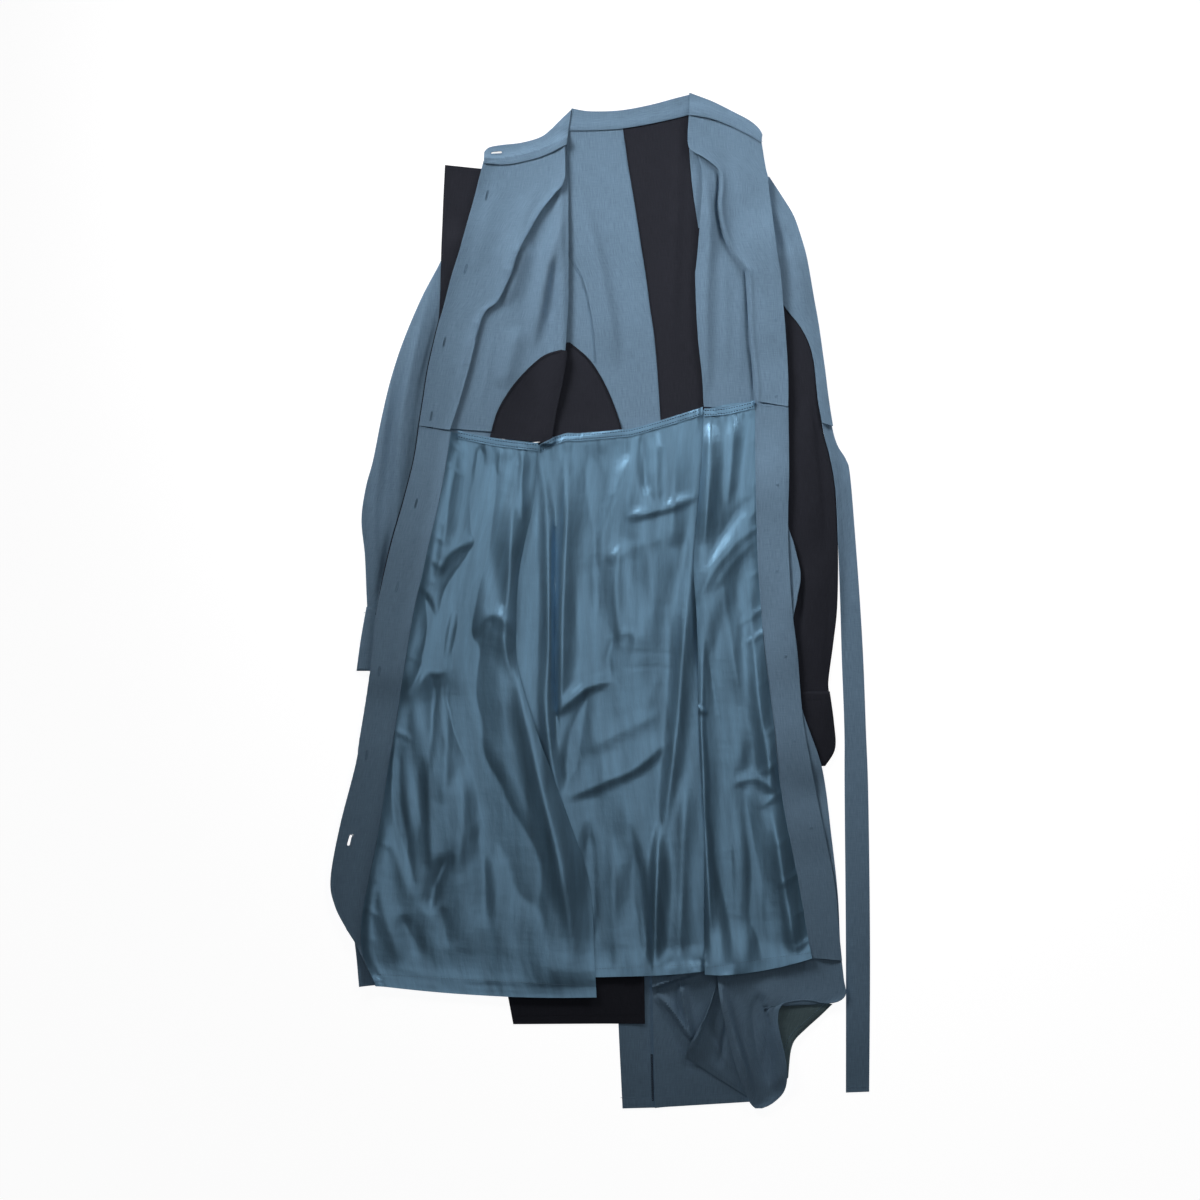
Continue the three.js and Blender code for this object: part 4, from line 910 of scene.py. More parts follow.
def flat_tube(name, slot, edges, height, folds=(), spacing=None):
    """Sleeve laid flat: at each row a loop of half width w and half height h, whose point at angle a is
    w·sign(cos a)·|cos a|^½ across and h + h·sign(sin a)·|sin a|^½ up, with the folds on its upper half."""
    sizes = bpy.context.scene.dress_sizes
    spacing = spacing or sizes.grid / MM
    s = evenly(*edges, spacing)
    a, b = spline(edges[0], s), spline(edges[1], s)
    loop = 2 * int(np.hypot(*(b - a).T).max() / spacing) + 8
    angle = 2 * np.pi * np.arange(loop) / loop
    cos, sin = np.cos(angle), np.sin(angle)
    half = height / 2
    across = np.sign(cos) * np.sqrt(np.abs(cos))
    up = half + half * np.sign(sin) * np.sqrt(np.abs(sin))
    x = (a[:, :1] + b[:, :1]) / 2 + (b[:, :1] - a[:, :1]) / 2 * across
    y = (a[:, 1:] + b[:, 1:]) / 2 + 0 * across
    z = up + relief(x, y, folds) * np.clip(sin * 2, 0, 1)
    points = np.stack([x.ravel(), y.ravel(), z.ravel()], 1)
    rows = len(x)
    i = (np.arange(rows - 1)[:, None] * loop + np.arange(loop)).ravel()
    j = (np.arange(rows - 1)[:, None] * loop + (np.arange(loop) + 1) % loop).ravel()
    faces = np.stack([i, i + loop, j + loop, j], 1)[:, ::-1]
    girth = np.sqrt(np.diff(x, axis=1) ** 2 + np.diff(z, axis=1) ** 2)
    u = np.concatenate([np.zeros((rows, 1)), np.cumsum(girth, 1)], 1)
    uv = np.stack([u.ravel(), y.ravel()], 1)
    piece = mesh_object(name + "_cloth", points, faces, uv, bpy.data.materials[LOOKS[slot]])
    wall = piece.modifiers.new("wall", "SOLIDIFY")
    wall.thickness = sizes.shell
    wall.offset = -1.0
    upper = sin >= -0.001
    order = np.argsort(across[upper], kind="stable")
    top = [g[:, upper][:, order] for g in (x, y, z)]
    PILE.add(*top)
    CLOTHS[name] = Cloth(*top)
    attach(piece, "root")
    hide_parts(name)
    return piece


# ---------------------------------------------------------------- materials


def nodes_of(name):
    material = bpy.data.materials.new(name)
    material.use_nodes = True
    tree = material.node_tree
    return material, tree, tree.nodes["Principled BSDF"]


def node(tree, kind, **settings):
    made = tree.nodes.new(kind)
    for key, value in settings.items():
        if key.startswith("in_"):
            made.inputs[key[3:].replace("_", " ")].default_value = value
        else:
            setattr(made, key, value)
    return made


def stretched_noise(tree, source, scale, noise_scale, detail=3.0):
    """Noise on coordinates that are scaled by a different amount each way."""
    mapping = node(tree, "ShaderNodeMapping", in_Scale=scale)
    tree.links.new(source, mapping.inputs["Vector"])
    noise = node(tree, "ShaderNodeTexNoise", in_Scale=noise_scale, in_Detail=detail)
    tree.links.new(mapping.outputs["Vector"], noise.inputs["Vector"])
    return noise.outputs["Fac"]


def mixed(tree, factor, low, high, at=(0.3, 0.7)):
    ramp = node(tree, "ShaderNodeValToRGB")
    ramp.color_ramp.elements[0].position, ramp.color_ramp.elements[1].position = at
    ramp.color_ramp.elements[0].color = (*low, 1)
    ramp.color_ramp.elements[1].color = (*high, 1)
    tree.links.new(factor, ramp.inputs["Fac"])
    return ramp.outputs["Color"]


def scaled(colour, factor):
    return tuple(min(1.0, c * factor) for c in colour)


def multiplied(tree, a, b):
    mix = node(tree, "ShaderNodeMix", data_type="RGBA", blend_type="MULTIPLY")
    mix.inputs[0].default_value = 1.0
    tree.links.new(a, mix.inputs[6])
    tree.links.new(b, mix.inputs[7])
    return mix.outputs[2]


def woven(name, colour, contrast, sheen):
    """Plain weave: slub yarns both ways in the colour, a fine thread grid in the bump."""
    material, tree, shader = nodes_of(name)
    uv = node(tree, "ShaderNodeTexCoord").outputs["UV"]
    warp = stretched_noise(tree, uv, (1300.0, 70.0, 1.0), 1.0)
    weft = stretched_noise(tree, uv, (80.0, 1300.0, 1.0), 1.0)
    broad = stretched_noise(tree, uv, (9.0, 9.0, 1.0), 1.0)
    warp_colour = mixed(tree, warp, scaled(colour, 1 - contrast), scaled(colour, 1 + contrast))
    weft_shade = mixed(tree, weft, (1 - contrast,) * 3, (1.0,) * 3)
    broad_shade = mixed(tree, broad, (0.9,) * 3, (1.0,) * 3)
    tree.links.new(
        multiplied(tree, multiplied(tree, warp_colour, weft_shade), broad_shade), shader.inputs["Base Color"]
    )
    threads = [
        node(tree, "ShaderNodeTexWave", bands_direction=way, in_Scale=420.0, in_Distortion=0.6)
        for way in "XY"
    ]
    both = node(tree, "ShaderNodeMath", operation="ADD")
    for thread, socket in zip(threads, both.inputs):
        tree.links.new(uv, thread.inputs["Vector"])
        tree.links.new(thread.outputs["Fac"], socket)
    bump = node(tree, "ShaderNodeBump", in_Strength=0.35, in_Distance=0.00012)
    tree.links.new(both.outputs["Value"], bump.inputs["Height"])
    slub = node(tree, "ShaderNodeBump", in_Strength=0.3, in_Distance=0.0003)
    tree.links.new(warp, slub.inputs["Height"])
    tree.links.new(bump.outputs["Normal"], slub.inputs["Normal"])
    tree.links.new(slub.outputs["Normal"], shader.inputs["Normal"])
    shader.inputs["Roughness"].default_value = 0.82
    shader.inputs["Specular IOR Level"].default_value = 0.12
    shader.inputs["Sheen Weight"].default_value = sheen
    shader.inputs["Sheen Tint"].default_value = (*scaled(colour, 2.2), 1)
    shader.inputs["Sheen Roughness"].default_value = 0.5
    return material


def satin(name, colour, gloss_from, gloss_to):
    """Satin: glossy coloured floats along the length, with faint creases in the bump. Long streaks vary the
    roughness between the two values. They are also painted into the base colour as lighter and darker bands,
    a painted sheen that stands in for reflections of fine wrinkles."""
    material, tree, shader = nodes_of(name)
    uv = node(tree, "ShaderNodeTexCoord").outputs["UV"]
    gloss_and_painted_sheen_streak = stretched_noise(tree, uv, (70.0, 8.0, 1.0), 1.0, 5.0)
    crease = stretched_noise(tree, uv, (38.0, 11.0, 1.0), 1.0, 6.0)
    crumple = stretched_noise(tree, uv, (16.0, 46.0, 1.0), 1.0, 4.0)
    fine = stretched_noise(tree, uv, (900.0, 60.0, 1.0), 1.0)
    # Painted sheen: the streaks make the base colour 0.82 to 1.12 times the satin colour, light and dark bands
    # that stand in for reflections of fine wrinkles.
    base = mixed(tree, gloss_and_painted_sheen_streak, scaled(colour, 0.82), scaled(colour, 1.12), (0.35, 0.65))
    shade = mixed(tree, fine, (0.92,) * 3, (1.0,) * 3)
    tree.links.new(multiplied(tree, base, shade), shader.inputs["Base Color"])
    rough = node(tree, "ShaderNodeMapRange", in_To_Min=gloss_from, in_To_Max=gloss_to)
    tree.links.new(gloss_and_painted_sheen_streak, rough.inputs["Value"])
    tree.links.new(rough.outputs["Result"], shader.inputs["Roughness"])
    bump = node(tree, "ShaderNodeBump", in_Strength=0.6, in_Distance=0.0018)
    tree.links.new(crease, bump.inputs["Height"])
    across = node(tree, "ShaderNodeBump", in_Strength=0.5, in_Distance=0.0011)
    tree.links.new(crumple, across.inputs["Height"])
    tree.links.new(bump.outputs["Normal"], across.inputs["Normal"])
    grain = node(tree, "ShaderNodeBump", in_Strength=0.15, in_Distance=0.0001)
    tree.links.new(fine, grain.inputs["Height"])
    tree.links.new(across.outputs["Normal"], grain.inputs["Normal"])
    tree.links.new(grain.outputs["Normal"], shader.inputs["Normal"])
    shader.inputs["Metallic"].default_value = 0.7
    return material


def resin(name, colour):
    """Button resin: clouded colour under a polish."""
    material, tree, shader = nodes_of(name)
    place = node(tree, "ShaderNodeTexCoord").outputs["Object"]
    cloud = stretched_noise(tree, place, (1.0, 1.0, 1.0), 300.0)
    tree.links.new(mixed(tree, cloud, scaled(colour, 0.7), scaled(colour, 1.5)), shader.inputs["Base Color"])
    shader.inputs["Roughness"].default_value = 0.3
    return material


# ---------------------------------------------------------------- operators


class DRESS_OT_materials(bpy.types.Operator):
    """Makes the cloths and the button resin"""

    bl_idname = "dress.materials"
    bl_label = "Materials"

    def execute(self, context):
        colours = context.scene.dress_colours
        woven(LOOKS["cloth_blue"], colours.blue, 0.14, 0.12)
        woven(LOOKS["cloth_black"], colours.black, 0.12, 0.1)
        woven(TURNED_WEAVE, colours.turned, 0.14, 0.12)
        satin(LOOKS["lining_satin"], colours.satin, 0.33, 0.45)
        satin(GATHERED_SATIN, colours.satin, 0.50, 0.62)
        resin(LOOKS["button_resin"], colours.button)
        return {"FINISHED"}


class DRESS_OT_sleeves(bpy.types.Operator):
    """Lays both sleeves and their cuffs on the surface"""

    bl_idname = "dress.sleeves"
    bl_label = "Sleeves"

    def execute(self, context):
        flat_tube("left_sleeve", "cloth_blue", LEFT_SLEEVE, 6.0, FOLDS["left_sleeve"], spacing=3.0)
        flat_tube("left_cuff", "cloth_blue", LEFT_CUFF, 6.6)
        flat_tube("right_sleeve_black", "cloth_black", RIGHT_SLEEVE, 6.0, FOLDS["right_sleeve"])
        flat_tube("right_cuff", "cloth_black", RIGHT_CUFF, 6.6, FOLDS["right_cuff"])
        PILE.close_layer()
        return {"FINISHED"}


class DRESS_OT_belt(bpy.types.Operator):
    """Lays the tie belt beside the right sleeve"""

    bl_idname = "dress.belt"
    bl_label = "Tie belt"

    def execute(self, context):
        lay("tie_belt", "cloth_blue", BELT, FOLDS["tie_belt"], drape=2)
        return {"FINISHED"}


class DRESS_OT_back(bpy.types.Operator):
    """Lays the back's panels above the waist"""

    bl_idname = "dress.back"
    bl_label = "Back"

    def execute(self, context):
        lay("back_side_left", "cloth_blue", (BACK_SIDE, BACK_PRINCESS))
        lay("back_centre", "cloth_blue", (BACK_PRINCESS, BACK_INSET), FOLDS["back_centre"])
        lay("back_inset", "cloth_black", (BACK_INSET, BACK_HIDDEN), FOLDS["back_inset"])
        lay("back_side_right", "cloth_black", (BACK_HIDDEN, BACK_RIGHT))
        return {"FINISHED"}


class DRESS_OT_back_skirt(bpy.types.Operator):
    """Lays the back's outer skirt panels and the vent facing"""

    bl_idname = "dress.back_skirt"
    bl_label = "Back skirt"

    def execute(self, context):
        lay("back_vent_facing", "cloth_blue", VENT_FACING, hem=(0, 10))
        lay(
            "back_skirt_blue", "cloth_blue", BACK_SKIRT_BLUE, FOLDS["back_skirt_blue"], curl=(3.2, 0),
            hem=(0, 10), loft=2.0, spacing=2.6,
        )
        lay("left_shoulder_panel", "cloth_black", LEFT_SHOULDER, new_layer=True)
        lay("right_sleeve_blue", "cloth_blue", RIGHT_SLEEVE_TOP, FOLDS["right_sleeve_blue"])
        lay("back_skirt_black", "cloth_black", BACK_SKIRT_BLACK, spacing=5.0)
        return {"FINISHED"}


class DRESS_OT_waist_patch(bpy.types.Operator):
    """Lays the back's part of the half-round patch"""

    bl_idname = "dress.waist_patch"
    bl_label = "Waist patch"

    def execute(self, context):
        lay("waist_patch_back", "cloth_black", PATCH_BACK, new_layer=True)
        lay("back_neck_band", "cloth_blue", BAND_BACK, drape=2)
        lay("right_shoulder_strip", "cloth_blue", RIGHT_SHOULDER)
        lay("right_hem_curl", "cloth_blue", RIGHT_HEM_CURL, loft=4.0, curl=(4.0, 2.0), look=TURNED_WEAVE)
        lay("right_hem_turn", "cloth_blue", RIGHT_HEM_TURN, FOLDS["right_hem_turn"], loft=3.0, curl=(7.0, 0))
        return {"FINISHED"}


class DRESS_OT_back_lining(bpy.types.Operator):
    """Lays the back's satin lining"""

    bl_idname = "dress.back_lining"
    bl_label = "Back lining"

    def execute(self, context):
        lay(
            "back_lining",
            "lining_satin",
            BACK_LINING,
            FOLDS["back_lining"] + puckers(WAIST_BACK, WAIST_PUCKERS["back"], (0, -22), 21),
            bow=(-8, -4),
            hem=(0, 10),
            lift=4.0,
            loft=2.5,
            spacing=3.0,
            texture=lambda x, y: swell(x, y, 3, 90, 620, 0.9) + wrinkles(x, y, 11, 26, 140, 12, 0.5),
            new_layer=True,
        )
        return {"FINISHED"}


def button_points(x, y, base):
    """Button: a profile of radius and height turned about its axis, with a raised rim and a dished face."""
    profile = np.array(BUTTON_PROFILE)
    turn = 2 * np.pi * np.arange(BUTTON_STEPS) / BUTTON_STEPS
    ring = np.stack([np.cos(turn), np.sin(turn)], 1)
    points = profile[:, None, :1] * ring[None]
    heights = np.broadcast_to(profile[:, 1:], points.shape[:2])
    return np.concatenate([points + (x, y), heights[..., None] + base], 2)


def button_top(x, y, height):
    """Flat disc as a polar grid."""
    radius, turn = np.meshgrid(np.linspace(0, 6.2, 8), np.linspace(0, 2 * np.pi, 25))
    return x + radius * np.cos(turn), y + radius * np.sin(turn), np.full(radius.shape, height)


class DRESS_OT_buttons(bpy.types.Operator):
    """Puts the buttons on the under side of the right button stand"""

    bl_idname = "dress.buttons"
    bl_label = "Buttons"

    def execute(self, context):
        PILE.close_layer()
        for number, (x, y) in enumerate(BUTTONS, 1):
            name = f"button_{number:02d}"
            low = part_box(name)[0]
            rings = button_points(x, y, low[2] / MM)
            count = rings.shape[1]
            faces = grid_faces(rings.shape[0], count + 1)
            index = np.arange(rings.shape[0])[:, None] * count + np.arange(count + 1) % count
            look = bpy.data.materials[LOOKS["button_resin"]]
            piece = mesh_object(name + "_turned", rings.reshape(-1, 3), index.ravel()[faces], None, look)
            merge = piece.modifiers.new("poles", "WELD")
            merge.merge_threshold = POLE_MERGE
            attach(piece, "root")
            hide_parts(name)
            PILE.add(*button_top(x, y, rings[..., 2].max()))
        PILE.close_layer()
        return {"FINISHED"}


class DRESS_OT_fronts(bpy.types.Operator):
    """Lays the outer cloth of both fronts"""

    bl_idname = "dress.fronts"
    bl_label = "Fronts"

    def execute(self, context):
        lay(
            "left_front", "cloth_blue", (LEFT_OPENING, LEFT_FOLD), FOLDS["left_front"],
            bow=(-6, 0), loft=1.5, curl=(3.0, 2.0), spacing=3.0, new_layer=True,
        )
        lay(
            "left_skirt_blue", "cloth_blue", (LEFT_SHELL, LEFT_SHELL_COLOUR), spacing=2.8, curl=(3.0, 0),
            holes=[GAPING_HOLE],
        )
        lay("left_skirt_black", "cloth_black", (LEFT_SHELL_COLOUR, LEFT_SHELL_INNER), spacing=5.0)
        lay(
            "right_front", "cloth_blue", (RIGHT_FOLD, RIGHT_OPENING), FOLDS["right_front"],
            bow=(6, 0), loft=2.5, curl=(4.5, 2.5), spacing=2.4,
        )
        lay(
            "right_skirt", "cloth_blue", RIGHT_SHELL, FOLDS["right_skirt"],
            loft=1.5, curl=(3.0, 4.0), spacing=3.4,
        )
        lay("waist_patch_front", "cloth_black", PATCH_FRONT, new_layer=True)
        return {"FINISHED"}


class DRESS_OT_facings(bpy.types.Operator):
    """Lays the front facings and the button stands"""

    bl_idname = "dress.facings"
    bl_label = "Facings and stands"

    def execute(self, context):
        lay(
            "left_facing", "cloth_blue", (LEFT_OPENING, LEFT_FACING_EDGE), FOLDS["left_facing"]
            + puckers(LEFT_FACING_EDGE, EDGE_PUCKERS, (-9, 3), 27), bow=(-6, 0), spacing=1.7, curl=(3.0, 3.0),
            new_layer=True, holes=BUTTONHOLES[:FACING_HOLES],
        )
        lay(
            "left_button_stand", "cloth_blue", (LEFT_STAND_EDGE, LEFT_STAND_SEAM),
            spacing=1.7, curl=(2.0, 5.0), holes=BUTTONHOLES[FACING_HOLES - 1 :],
        )
        lay(
            "right_facing", "cloth_blue", (RIGHT_FACING_EDGE, RIGHT_OPENING), FOLDS["right_facing"],
            bow=(7, 0), loft=1.0, curl=(2.5, 2.5), spacing=1.8,
        )
        lay("right_button_stand", "cloth_blue", (RIGHT_STAND_SEAM, RIGHT_STAND_EDGE))
        return {"FINISHED"}


class DRESS_OT_front_linings(bpy.types.Operator):
    """Lays the satin linings of both fronts"""

    bl_idname = "dress.front_linings"
    bl_label = "Front linings"

    def execute(self, context):
        lay(
            "left_lining",
            "lining_satin",
            (LEFT_STAND_SEAM, LEFT_LINING_EDGE),
            FOLDS["left_lining"]
            + puckers(WAIST_LEFT, WAIST_PUCKERS["left"], (0, -20), 22)
            + puckers(LEFT_STAND_SEAM, SEAM_PUCKERS["left"], (20, -15), 23),
            bow=(-1, -5),
            hem=(0, 10),
            lift=5.0,
            curl=(5.0, 0),
            loft=3.0,
            spacing=3.0,
            texture=lambda x, y: swell(x, y, 7, 95, 600, 1.0)
            + wrinkles(x, y, 5, 26, 140, 12, 0.5, heading=100),
        )
        lay(
            "right_lining",
            "lining_satin",
            (RIGHT_LINING_EDGE, RIGHT_STAND_SEAM),
            FOLDS["right_lining"]
            + puckers(WAIST_RIGHT, WAIST_PUCKERS["right"], (0, -20), 24)
            + puckers(RIGHT_STAND_SEAM, SEAM_PUCKERS["right"], (-20, -13), 25),
            bow=(4, -6),
            hem=(0, 10),
            lift=5.0,
            loft=3.0,
            spacing=2.6,
            texture=lambda x, y: swell(x, y, 9, 85, 620, 1.0) + wrinkles(x, y, 8, 20, 140, 11, 0.6),
        )
        return {"FINISHED"}


def gathers(x, y):
    """Ruffles along a casing: 0.1 × sin of x over 5.6 mm, whose pitch wanders."""
    return 0.1 * np.sin(x * 2 * np.pi / 5.6 + 1.8 * np.sin(x / 8.5) + 0.9 * np.sin(x / 3.1))


def lowered(line, depth):
    return tuple((x, y - depth) for x, y in line)


class DRESS_OT_bands(bpy.types.Operator):
    """Lays the front ends of the neck band and the waist casings"""

    bl_idname = "dress.bands"
    bl_label = "Neck band and casings"

    def execute(self, context):
        lay(
            "left_neck_band", "cloth_blue", BAND_LEFT, drape=2, spacing=1.0, new_layer=True,
            holes=[COLLAR_HOLE],
        )
        lay("right_neck_band", "cloth_blue", BAND_RIGHT, drape=2)
        for side, line in WAISTS:
            rows = tuple((lowered(line, depth), 1.3, -0.2, 0) for depth in CASING_ROWS)
            lay(
                f"{side}_waist_casing", "lining_satin", (lowered(line, CASING_DEPTH), line), rows, drape=1,
                spacing=0.95, texture=gathers, look=GATHERED_SATIN,
            )
        PILE.close_layer()
        return {"FINISHED"}


def part(line, first, last, count=9, aside=0.0):
    """Points on a line between two shares of its length, moved aside to the left of its direction."""
    points = spline(line, np.linspace(first, last, count))
    way = np.gradient(points, axis=0)
    way /= np.hypot(*way.T)[:, None]
    return points + aside * np.stack([-way[:, 1], way[:, 0]], 1)


def row(edges, share, rise=0.0, count=12):
    """Points across the last row of a piece, between two edges, moved up by the rise."""
    a, b = spline(edges[0], [share])[0], spline(edges[1], [share])[0]
    return a + np.linspace(0.01, 0.99, count)[:, None] * (b - a) + (0, rise)


class DRESS_OT_seams(bpy.types.Operator):
    """Sews the seams, hems and casings"""

    bl_idname = "dress.seams"
    bl_label = "Seams"

    def execute(self, context):
        pitch = context.scene.dress_sizes.stitch / MM
        dash = 0.68 * pitch
        blue = [
            stitches("left_neck_band", part(BAND_LEFT[0], 0.02, 0.98, aside=2.0), pitch, dash),
            stitches("back_neck_band", part(BAND_BACK[0], 0.05, 0.97, aside=2.0), pitch, dash),
            stitches("right_neck_band", part(BAND_RIGHT[0], 0.03, 0.97, aside=2.0), pitch, dash),
            stitches("left_button_stand", part(LEFT_STAND_SEAM, 0.01, 0.97, 40, aside=-2.0), pitch, dash),
            stitches("right_button_stand", part(RIGHT_STAND_SEAM, 0.01, 0.98, 40, aside=2.0), pitch, dash),
            stitches("left_button_stand", ((-214, 205), (-198, 202), (-181, 199)), pitch, dash),
            stitches("right_button_stand", ((188, 233), (206, 231), (223, 228)), pitch, dash),
            stitches("back_vent_facing", part(VENT_FACING[1], 0.2, 0.99, aside=-3.0), pitch, dash),
            stitches("back_vent_facing", ((24, -597), (44, -597), (62, -597)), pitch, dash),
            stitches("back_skirt_blue", ((68, -596), (110, -594), (150, -591)), pitch, dash),
            stitches("right_hem_turn", ((110, -538), (130, -557), (160, -580), (178, -592)), pitch, dash),
            stitches("right_skirt", ((244, -434), (245, -456), (244, -476)), pitch, dash),
            stitches("right_hem_curl", part(RIGHT_HEM_CURL[1], 0.02, 0.9, aside=-7.0), pitch, dash),
            stitches("tie_belt", ((297, -585), (309, -585), (321, -585)), pitch, dash),
            stitches("left_cuff", ((-284, -15), (-232, -17), (-184, -15)), pitch, dash),
            stitches("left_cuff", ((-290, -79), (-240, -81), (-192, -79)), pitch, dash),
        ]
        sew("blue_seams", "cloth_blue", blue)
        satin = [
            stitches("left_lining", row((LEFT_STAND_SEAM, LEFT_LINING_EDGE), 0.985, 8, 14), pitch, dash),
            stitches("back_lining", row(BACK_LINING, 0.985, 2), pitch, dash),
            stitches("right_lining", row((RIGHT_LINING_EDGE, RIGHT_STAND_SEAM), 0.985, 3), pitch, dash),
        ]
        for side, line in WAISTS:
            path = np.asarray(lowered(line, 0.2), float)
            satin.append(stitches(f"{side}_waist_casing", path, 1.7, 1.9, lift=-0.1, radius=0.45))
        sew("lining_seams", "cloth_blue", satin)
        black = [
            stitches("back_skirt_black", ((-100, -498), (-20, -498), (50, -498)), pitch, dash),
            stitches("right_cuff", ((231, -117), (252, -119), (273, -117)), pitch, dash),
        ]
        # The casing rows are sewn in black, thicker than the other stitches: the dark rows are the thread and
        # also painted shade of the puckers along them.
        for side, line in WAISTS:
            for depth in CASING_ROWS:
                path = np.asarray(lowered(line, depth), float)
                black.append(stitches(f"{side}_waist_casing", path, pitch, dash, radius=0.42))
        sew("black_seams", "cloth_black", black)
        return {"FINISHED"}


class DRESS_OT_edging(bpy.types.Operator):
    """Sews the raw edges over, with stitches across them"""

    bl_idname = "dress.edging"
    bl_label = "Overcast edges"

    def execute(self, context):
        over = {"pitch": 1.15, "length": 3.4, "turn": 78, "radius": 0.34}
        blue = [
            stitches("left_facing", part(LEFT_FACING_EDGE, 0.09, 0.76, 30, aside=-1.8), **over),
            stitches("back_side_left", part(BACK_PRINCESS, 0.36, 0.83, 20, aside=-2.0), **over),
            stitches("back_centre", part(BACK_INSET, 0.02, 0.97, 24, aside=-1.2), 1.3, 1.8, turn=78),
        ]
        sew("blue_edging", "cloth_blue", blue)
        black = [
            stitches("waist_patch_back", part(PATCH_BACK[1], 0.02, 0.93, 16, aside=-1.8), **over),
            stitches("waist_patch_front", part(PATCH_FRONT[0], 0.02, 0.94, 16, aside=1.8), **over),
            stitches("back_inset", part(BACK_INSET, 0.02, 0.97, 24, aside=1.4), 1.3, 2.0, turn=78),
            # Black overcast on the vent facing's edge. It draws the dark vent line: partly the thread, and
            # partly painted shadow of the gap at the seam.
            stitches("back_vent_facing", part(VENT_FACING[1], 0.68, 0.94, 12, aside=-2.2), **over),
        ]
        sew("black_edging", "cloth_black", black)
        return {"FINISHED"}


def ring_of(place, margin):
    """Path round a slot, a margin outside it."""
    x, y, length, width, heading = place
    turn = 2 * np.pi * np.linspace(0, 1, 33)
    c, r = math.cos(math.radians(heading)), math.sin(math.radians(heading))
    cos, sin = np.cos(turn), np.sin(turn)
    along = (length / 2 + margin) * np.sign(cos) * np.abs(cos) ** 0.35
    across = (width / 2 + margin) * np.sign(sin) * np.abs(sin) ** 0.8
    return np.stack([x + along * c - across * r, y + along * r + across * c], 1)


class DRESS_OT_buttonholes(bpy.types.Operator):
    """Works the buttonholes and the threads that hold the buttons"""

    bl_idname = "dress.buttonholes"
    bl_label = "Buttonholes"

    def execute(self, context):
        runs = []
        for number, place in enumerate(BUTTONHOLES):
            cloth = "left_facing" if number < FACING_HOLES else "left_button_stand"
            runs.append(stitches(cloth, ring_of(place, 0.5), 0.62, 1.5, turn=90, radius=0.3))
        runs.append(stitches("left_neck_band", ring_of(COLLAR_HOLE, 0.7), 0.62, 1.7, turn=90, radius=0.32))
        for x, y in BUTTONS[3:]:
            cloth = "right_facing" if y > 232 else "right_button_stand"
            for shift in (-0.9, 0.9):
                path = ((x + shift - 0.6, y - 2.4), (x + shift, y), (x + shift + 0.6, y + 2.4))
                runs.append(stitches(cloth, path, 5.0, 4.6, radius=0.42))
        sew("buttonhole_stitches", "cloth_blue", runs)
        return {"FINISHED"}


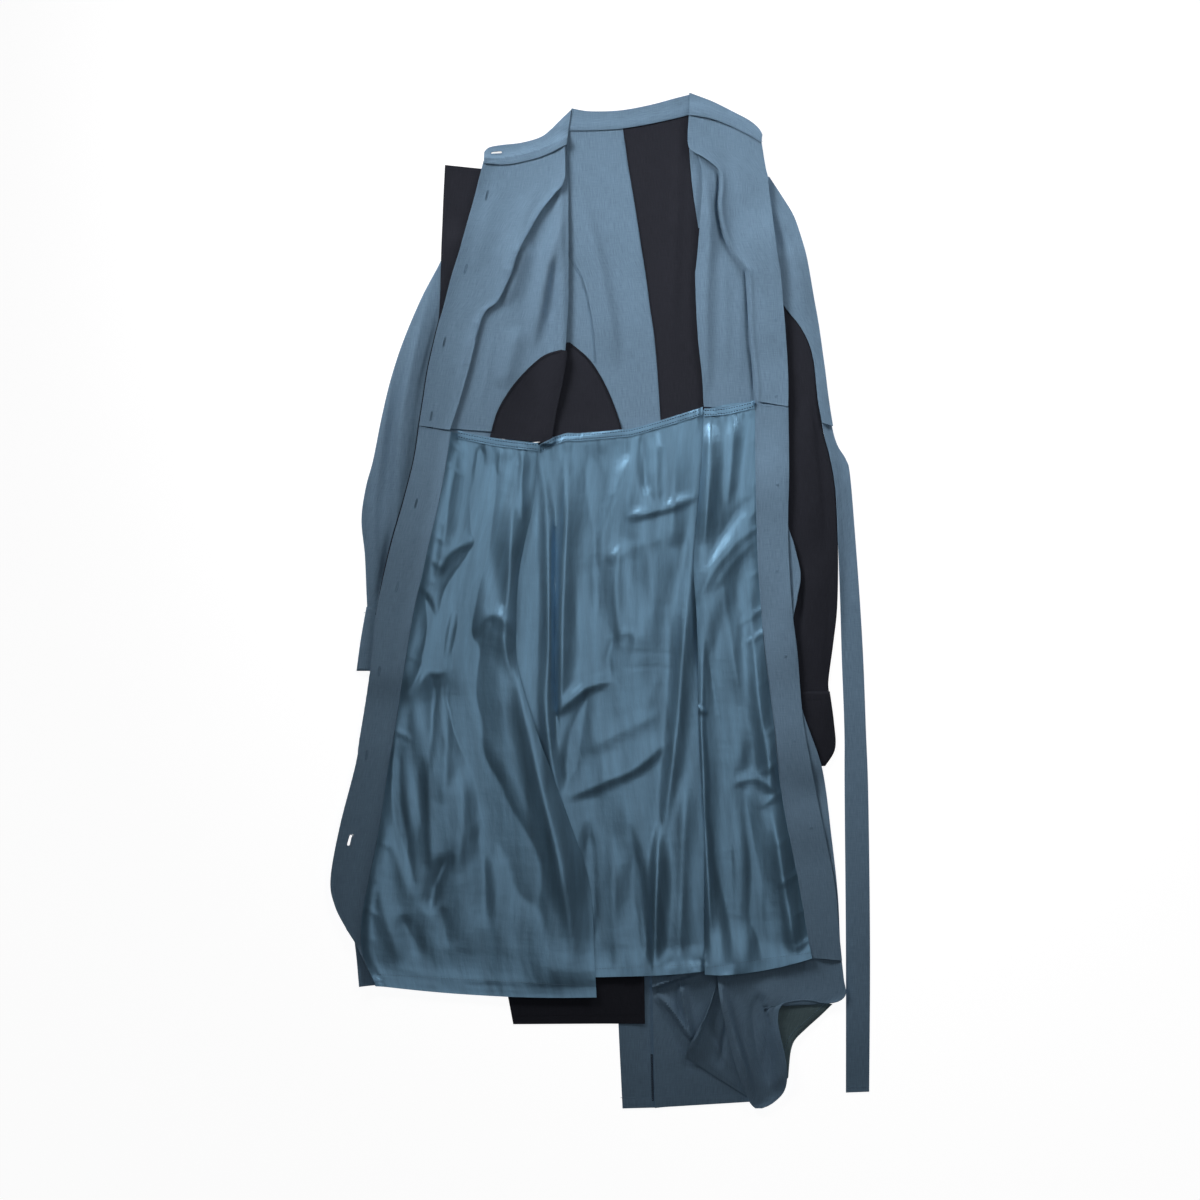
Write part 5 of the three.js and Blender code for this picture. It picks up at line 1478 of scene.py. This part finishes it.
class DRESS_OT_stage(bpy.types.Operator):
    """Makes the floor, the studio light and the camera"""

    bl_idname = "dress.stage"
    bl_label = "Stage"

    def execute(self, context):
        scene = context.scene
        corners = np.array([(-1, -1), (1, -1), (1, 1), (-1, 1)]) * FLOOR_HALF
        corners = np.column_stack([corners, np.full(4, -FLOOR_DROP)])
        floor = mesh_object("floor", corners, np.array([[0, 1, 2, 3]]))
        material, _, shader = nodes_of("floor")
        shader.inputs["Base Color"].default_value = (*scene.dress_colours.floor, 1)
        shader.inputs["Roughness"].default_value = 0.9
        shader.inputs["Emission Color"].default_value = (1, 1, 1, 1)
        shader.inputs["Emission Strength"].default_value = 0.93
        floor.data.materials.append(material)

        def lamp(name, kind, place, aim, watts, size, cone=0.0):
            light = bpy.data.lights.new(name, kind)
            light.energy = watts
            light.color = (1.0, 0.985, 0.965)
            if kind == "SPOT":
                light.shadow_soft_size = size / 2
                light.spot_size = math.radians(cone)
                light.spot_blend = 1.0
            else:
                light.shape = "DISK"
                light.size = size
            holder = bpy.data.objects.new(name, light)
            holder.location = place
            holder.rotation_mode = "QUATERNION"
            holder.rotation_quaternion = (Vector(place) - Vector(aim)).to_track_quat("Z", "Y")
            scene.collection.objects.link(holder)

        lamp("key", "SPOT", (-0.80, 1.25, 0.90), (0.16, 0.32, 0), 118, 0.7, 48)
        lamp("second", "SPOT", (0.90, 1.20, 0.90), (0.12, 0.26, 0), 46, 0.7, 50)
        lamp("overhead", "AREA", (0.1, 0.3, 4.0), (0.1, 0.3, 0), 20, 2.9)
        world = bpy.data.worlds.new("studio")
        world.use_nodes = True
        world.node_tree.nodes["Background"].inputs["Color"].default_value = (0.95, 0.97, 1.0, 1)
        world.node_tree.nodes["Background"].inputs["Strength"].default_value = 0.02
        scene.world = world
        scene.view_settings.view_transform = "Standard"

        lens = bpy.data.cameras.new("camera")
        lens.lens = LENS
        lens.sensor_width = SENSOR
        camera = bpy.data.objects.new("camera", lens)
        camera.location = (0, 0, VIEW_WIDTH * LENS / SENSOR)
        scene.collection.objects.link(camera)
        scene.camera = camera
        return {"FINISHED"}


class DRESS_PT_panel(bpy.types.Panel):
    """Lists the dress's sizes, colours and steps"""

    bl_idname = "DRESS_PT_panel"
    bl_label = "Dress"
    bl_space_type = "VIEW_3D"
    bl_region_type = "UI"
    bl_category = "Dress"

    def draw(self, context):
        for group in (context.scene.dress_sizes, context.scene.dress_colours):
            for prop in group.__annotations__:
                self.layout.prop(group, prop)
        for step in STEPS:
            self.layout.operator(step.bl_idname)


STEPS = (
    DRESS_OT_stage,
    DRESS_OT_materials,
    DRESS_OT_sleeves,
    DRESS_OT_belt,
    DRESS_OT_back,
    DRESS_OT_back_skirt,
    DRESS_OT_waist_patch,
    DRESS_OT_back_lining,
    DRESS_OT_buttons,
    DRESS_OT_fronts,
    DRESS_OT_facings,
    DRESS_OT_front_linings,
    DRESS_OT_bands,
    DRESS_OT_seams,
    DRESS_OT_edging,
    DRESS_OT_buttonholes,
)
CLASSES = (DressSizes, DressColours, *STEPS, DRESS_PT_panel)


def register():
    for cls in CLASSES:
        bpy.utils.register_class(cls)
    bpy.types.Scene.dress_sizes = bpy.props.PointerProperty(type=DressSizes)
    bpy.types.Scene.dress_colours = bpy.props.PointerProperty(type=DressColours)


def unregister():
    del bpy.types.Scene.dress_sizes
    del bpy.types.Scene.dress_colours
    for cls in reversed(CLASSES):
        bpy.utils.unregister_class(cls)


def main():
    register()
    for step in STEPS:
        getattr(bpy.ops.dress, step.bl_idname.split(".")[1])()


if __name__ == "__main__":
    main()
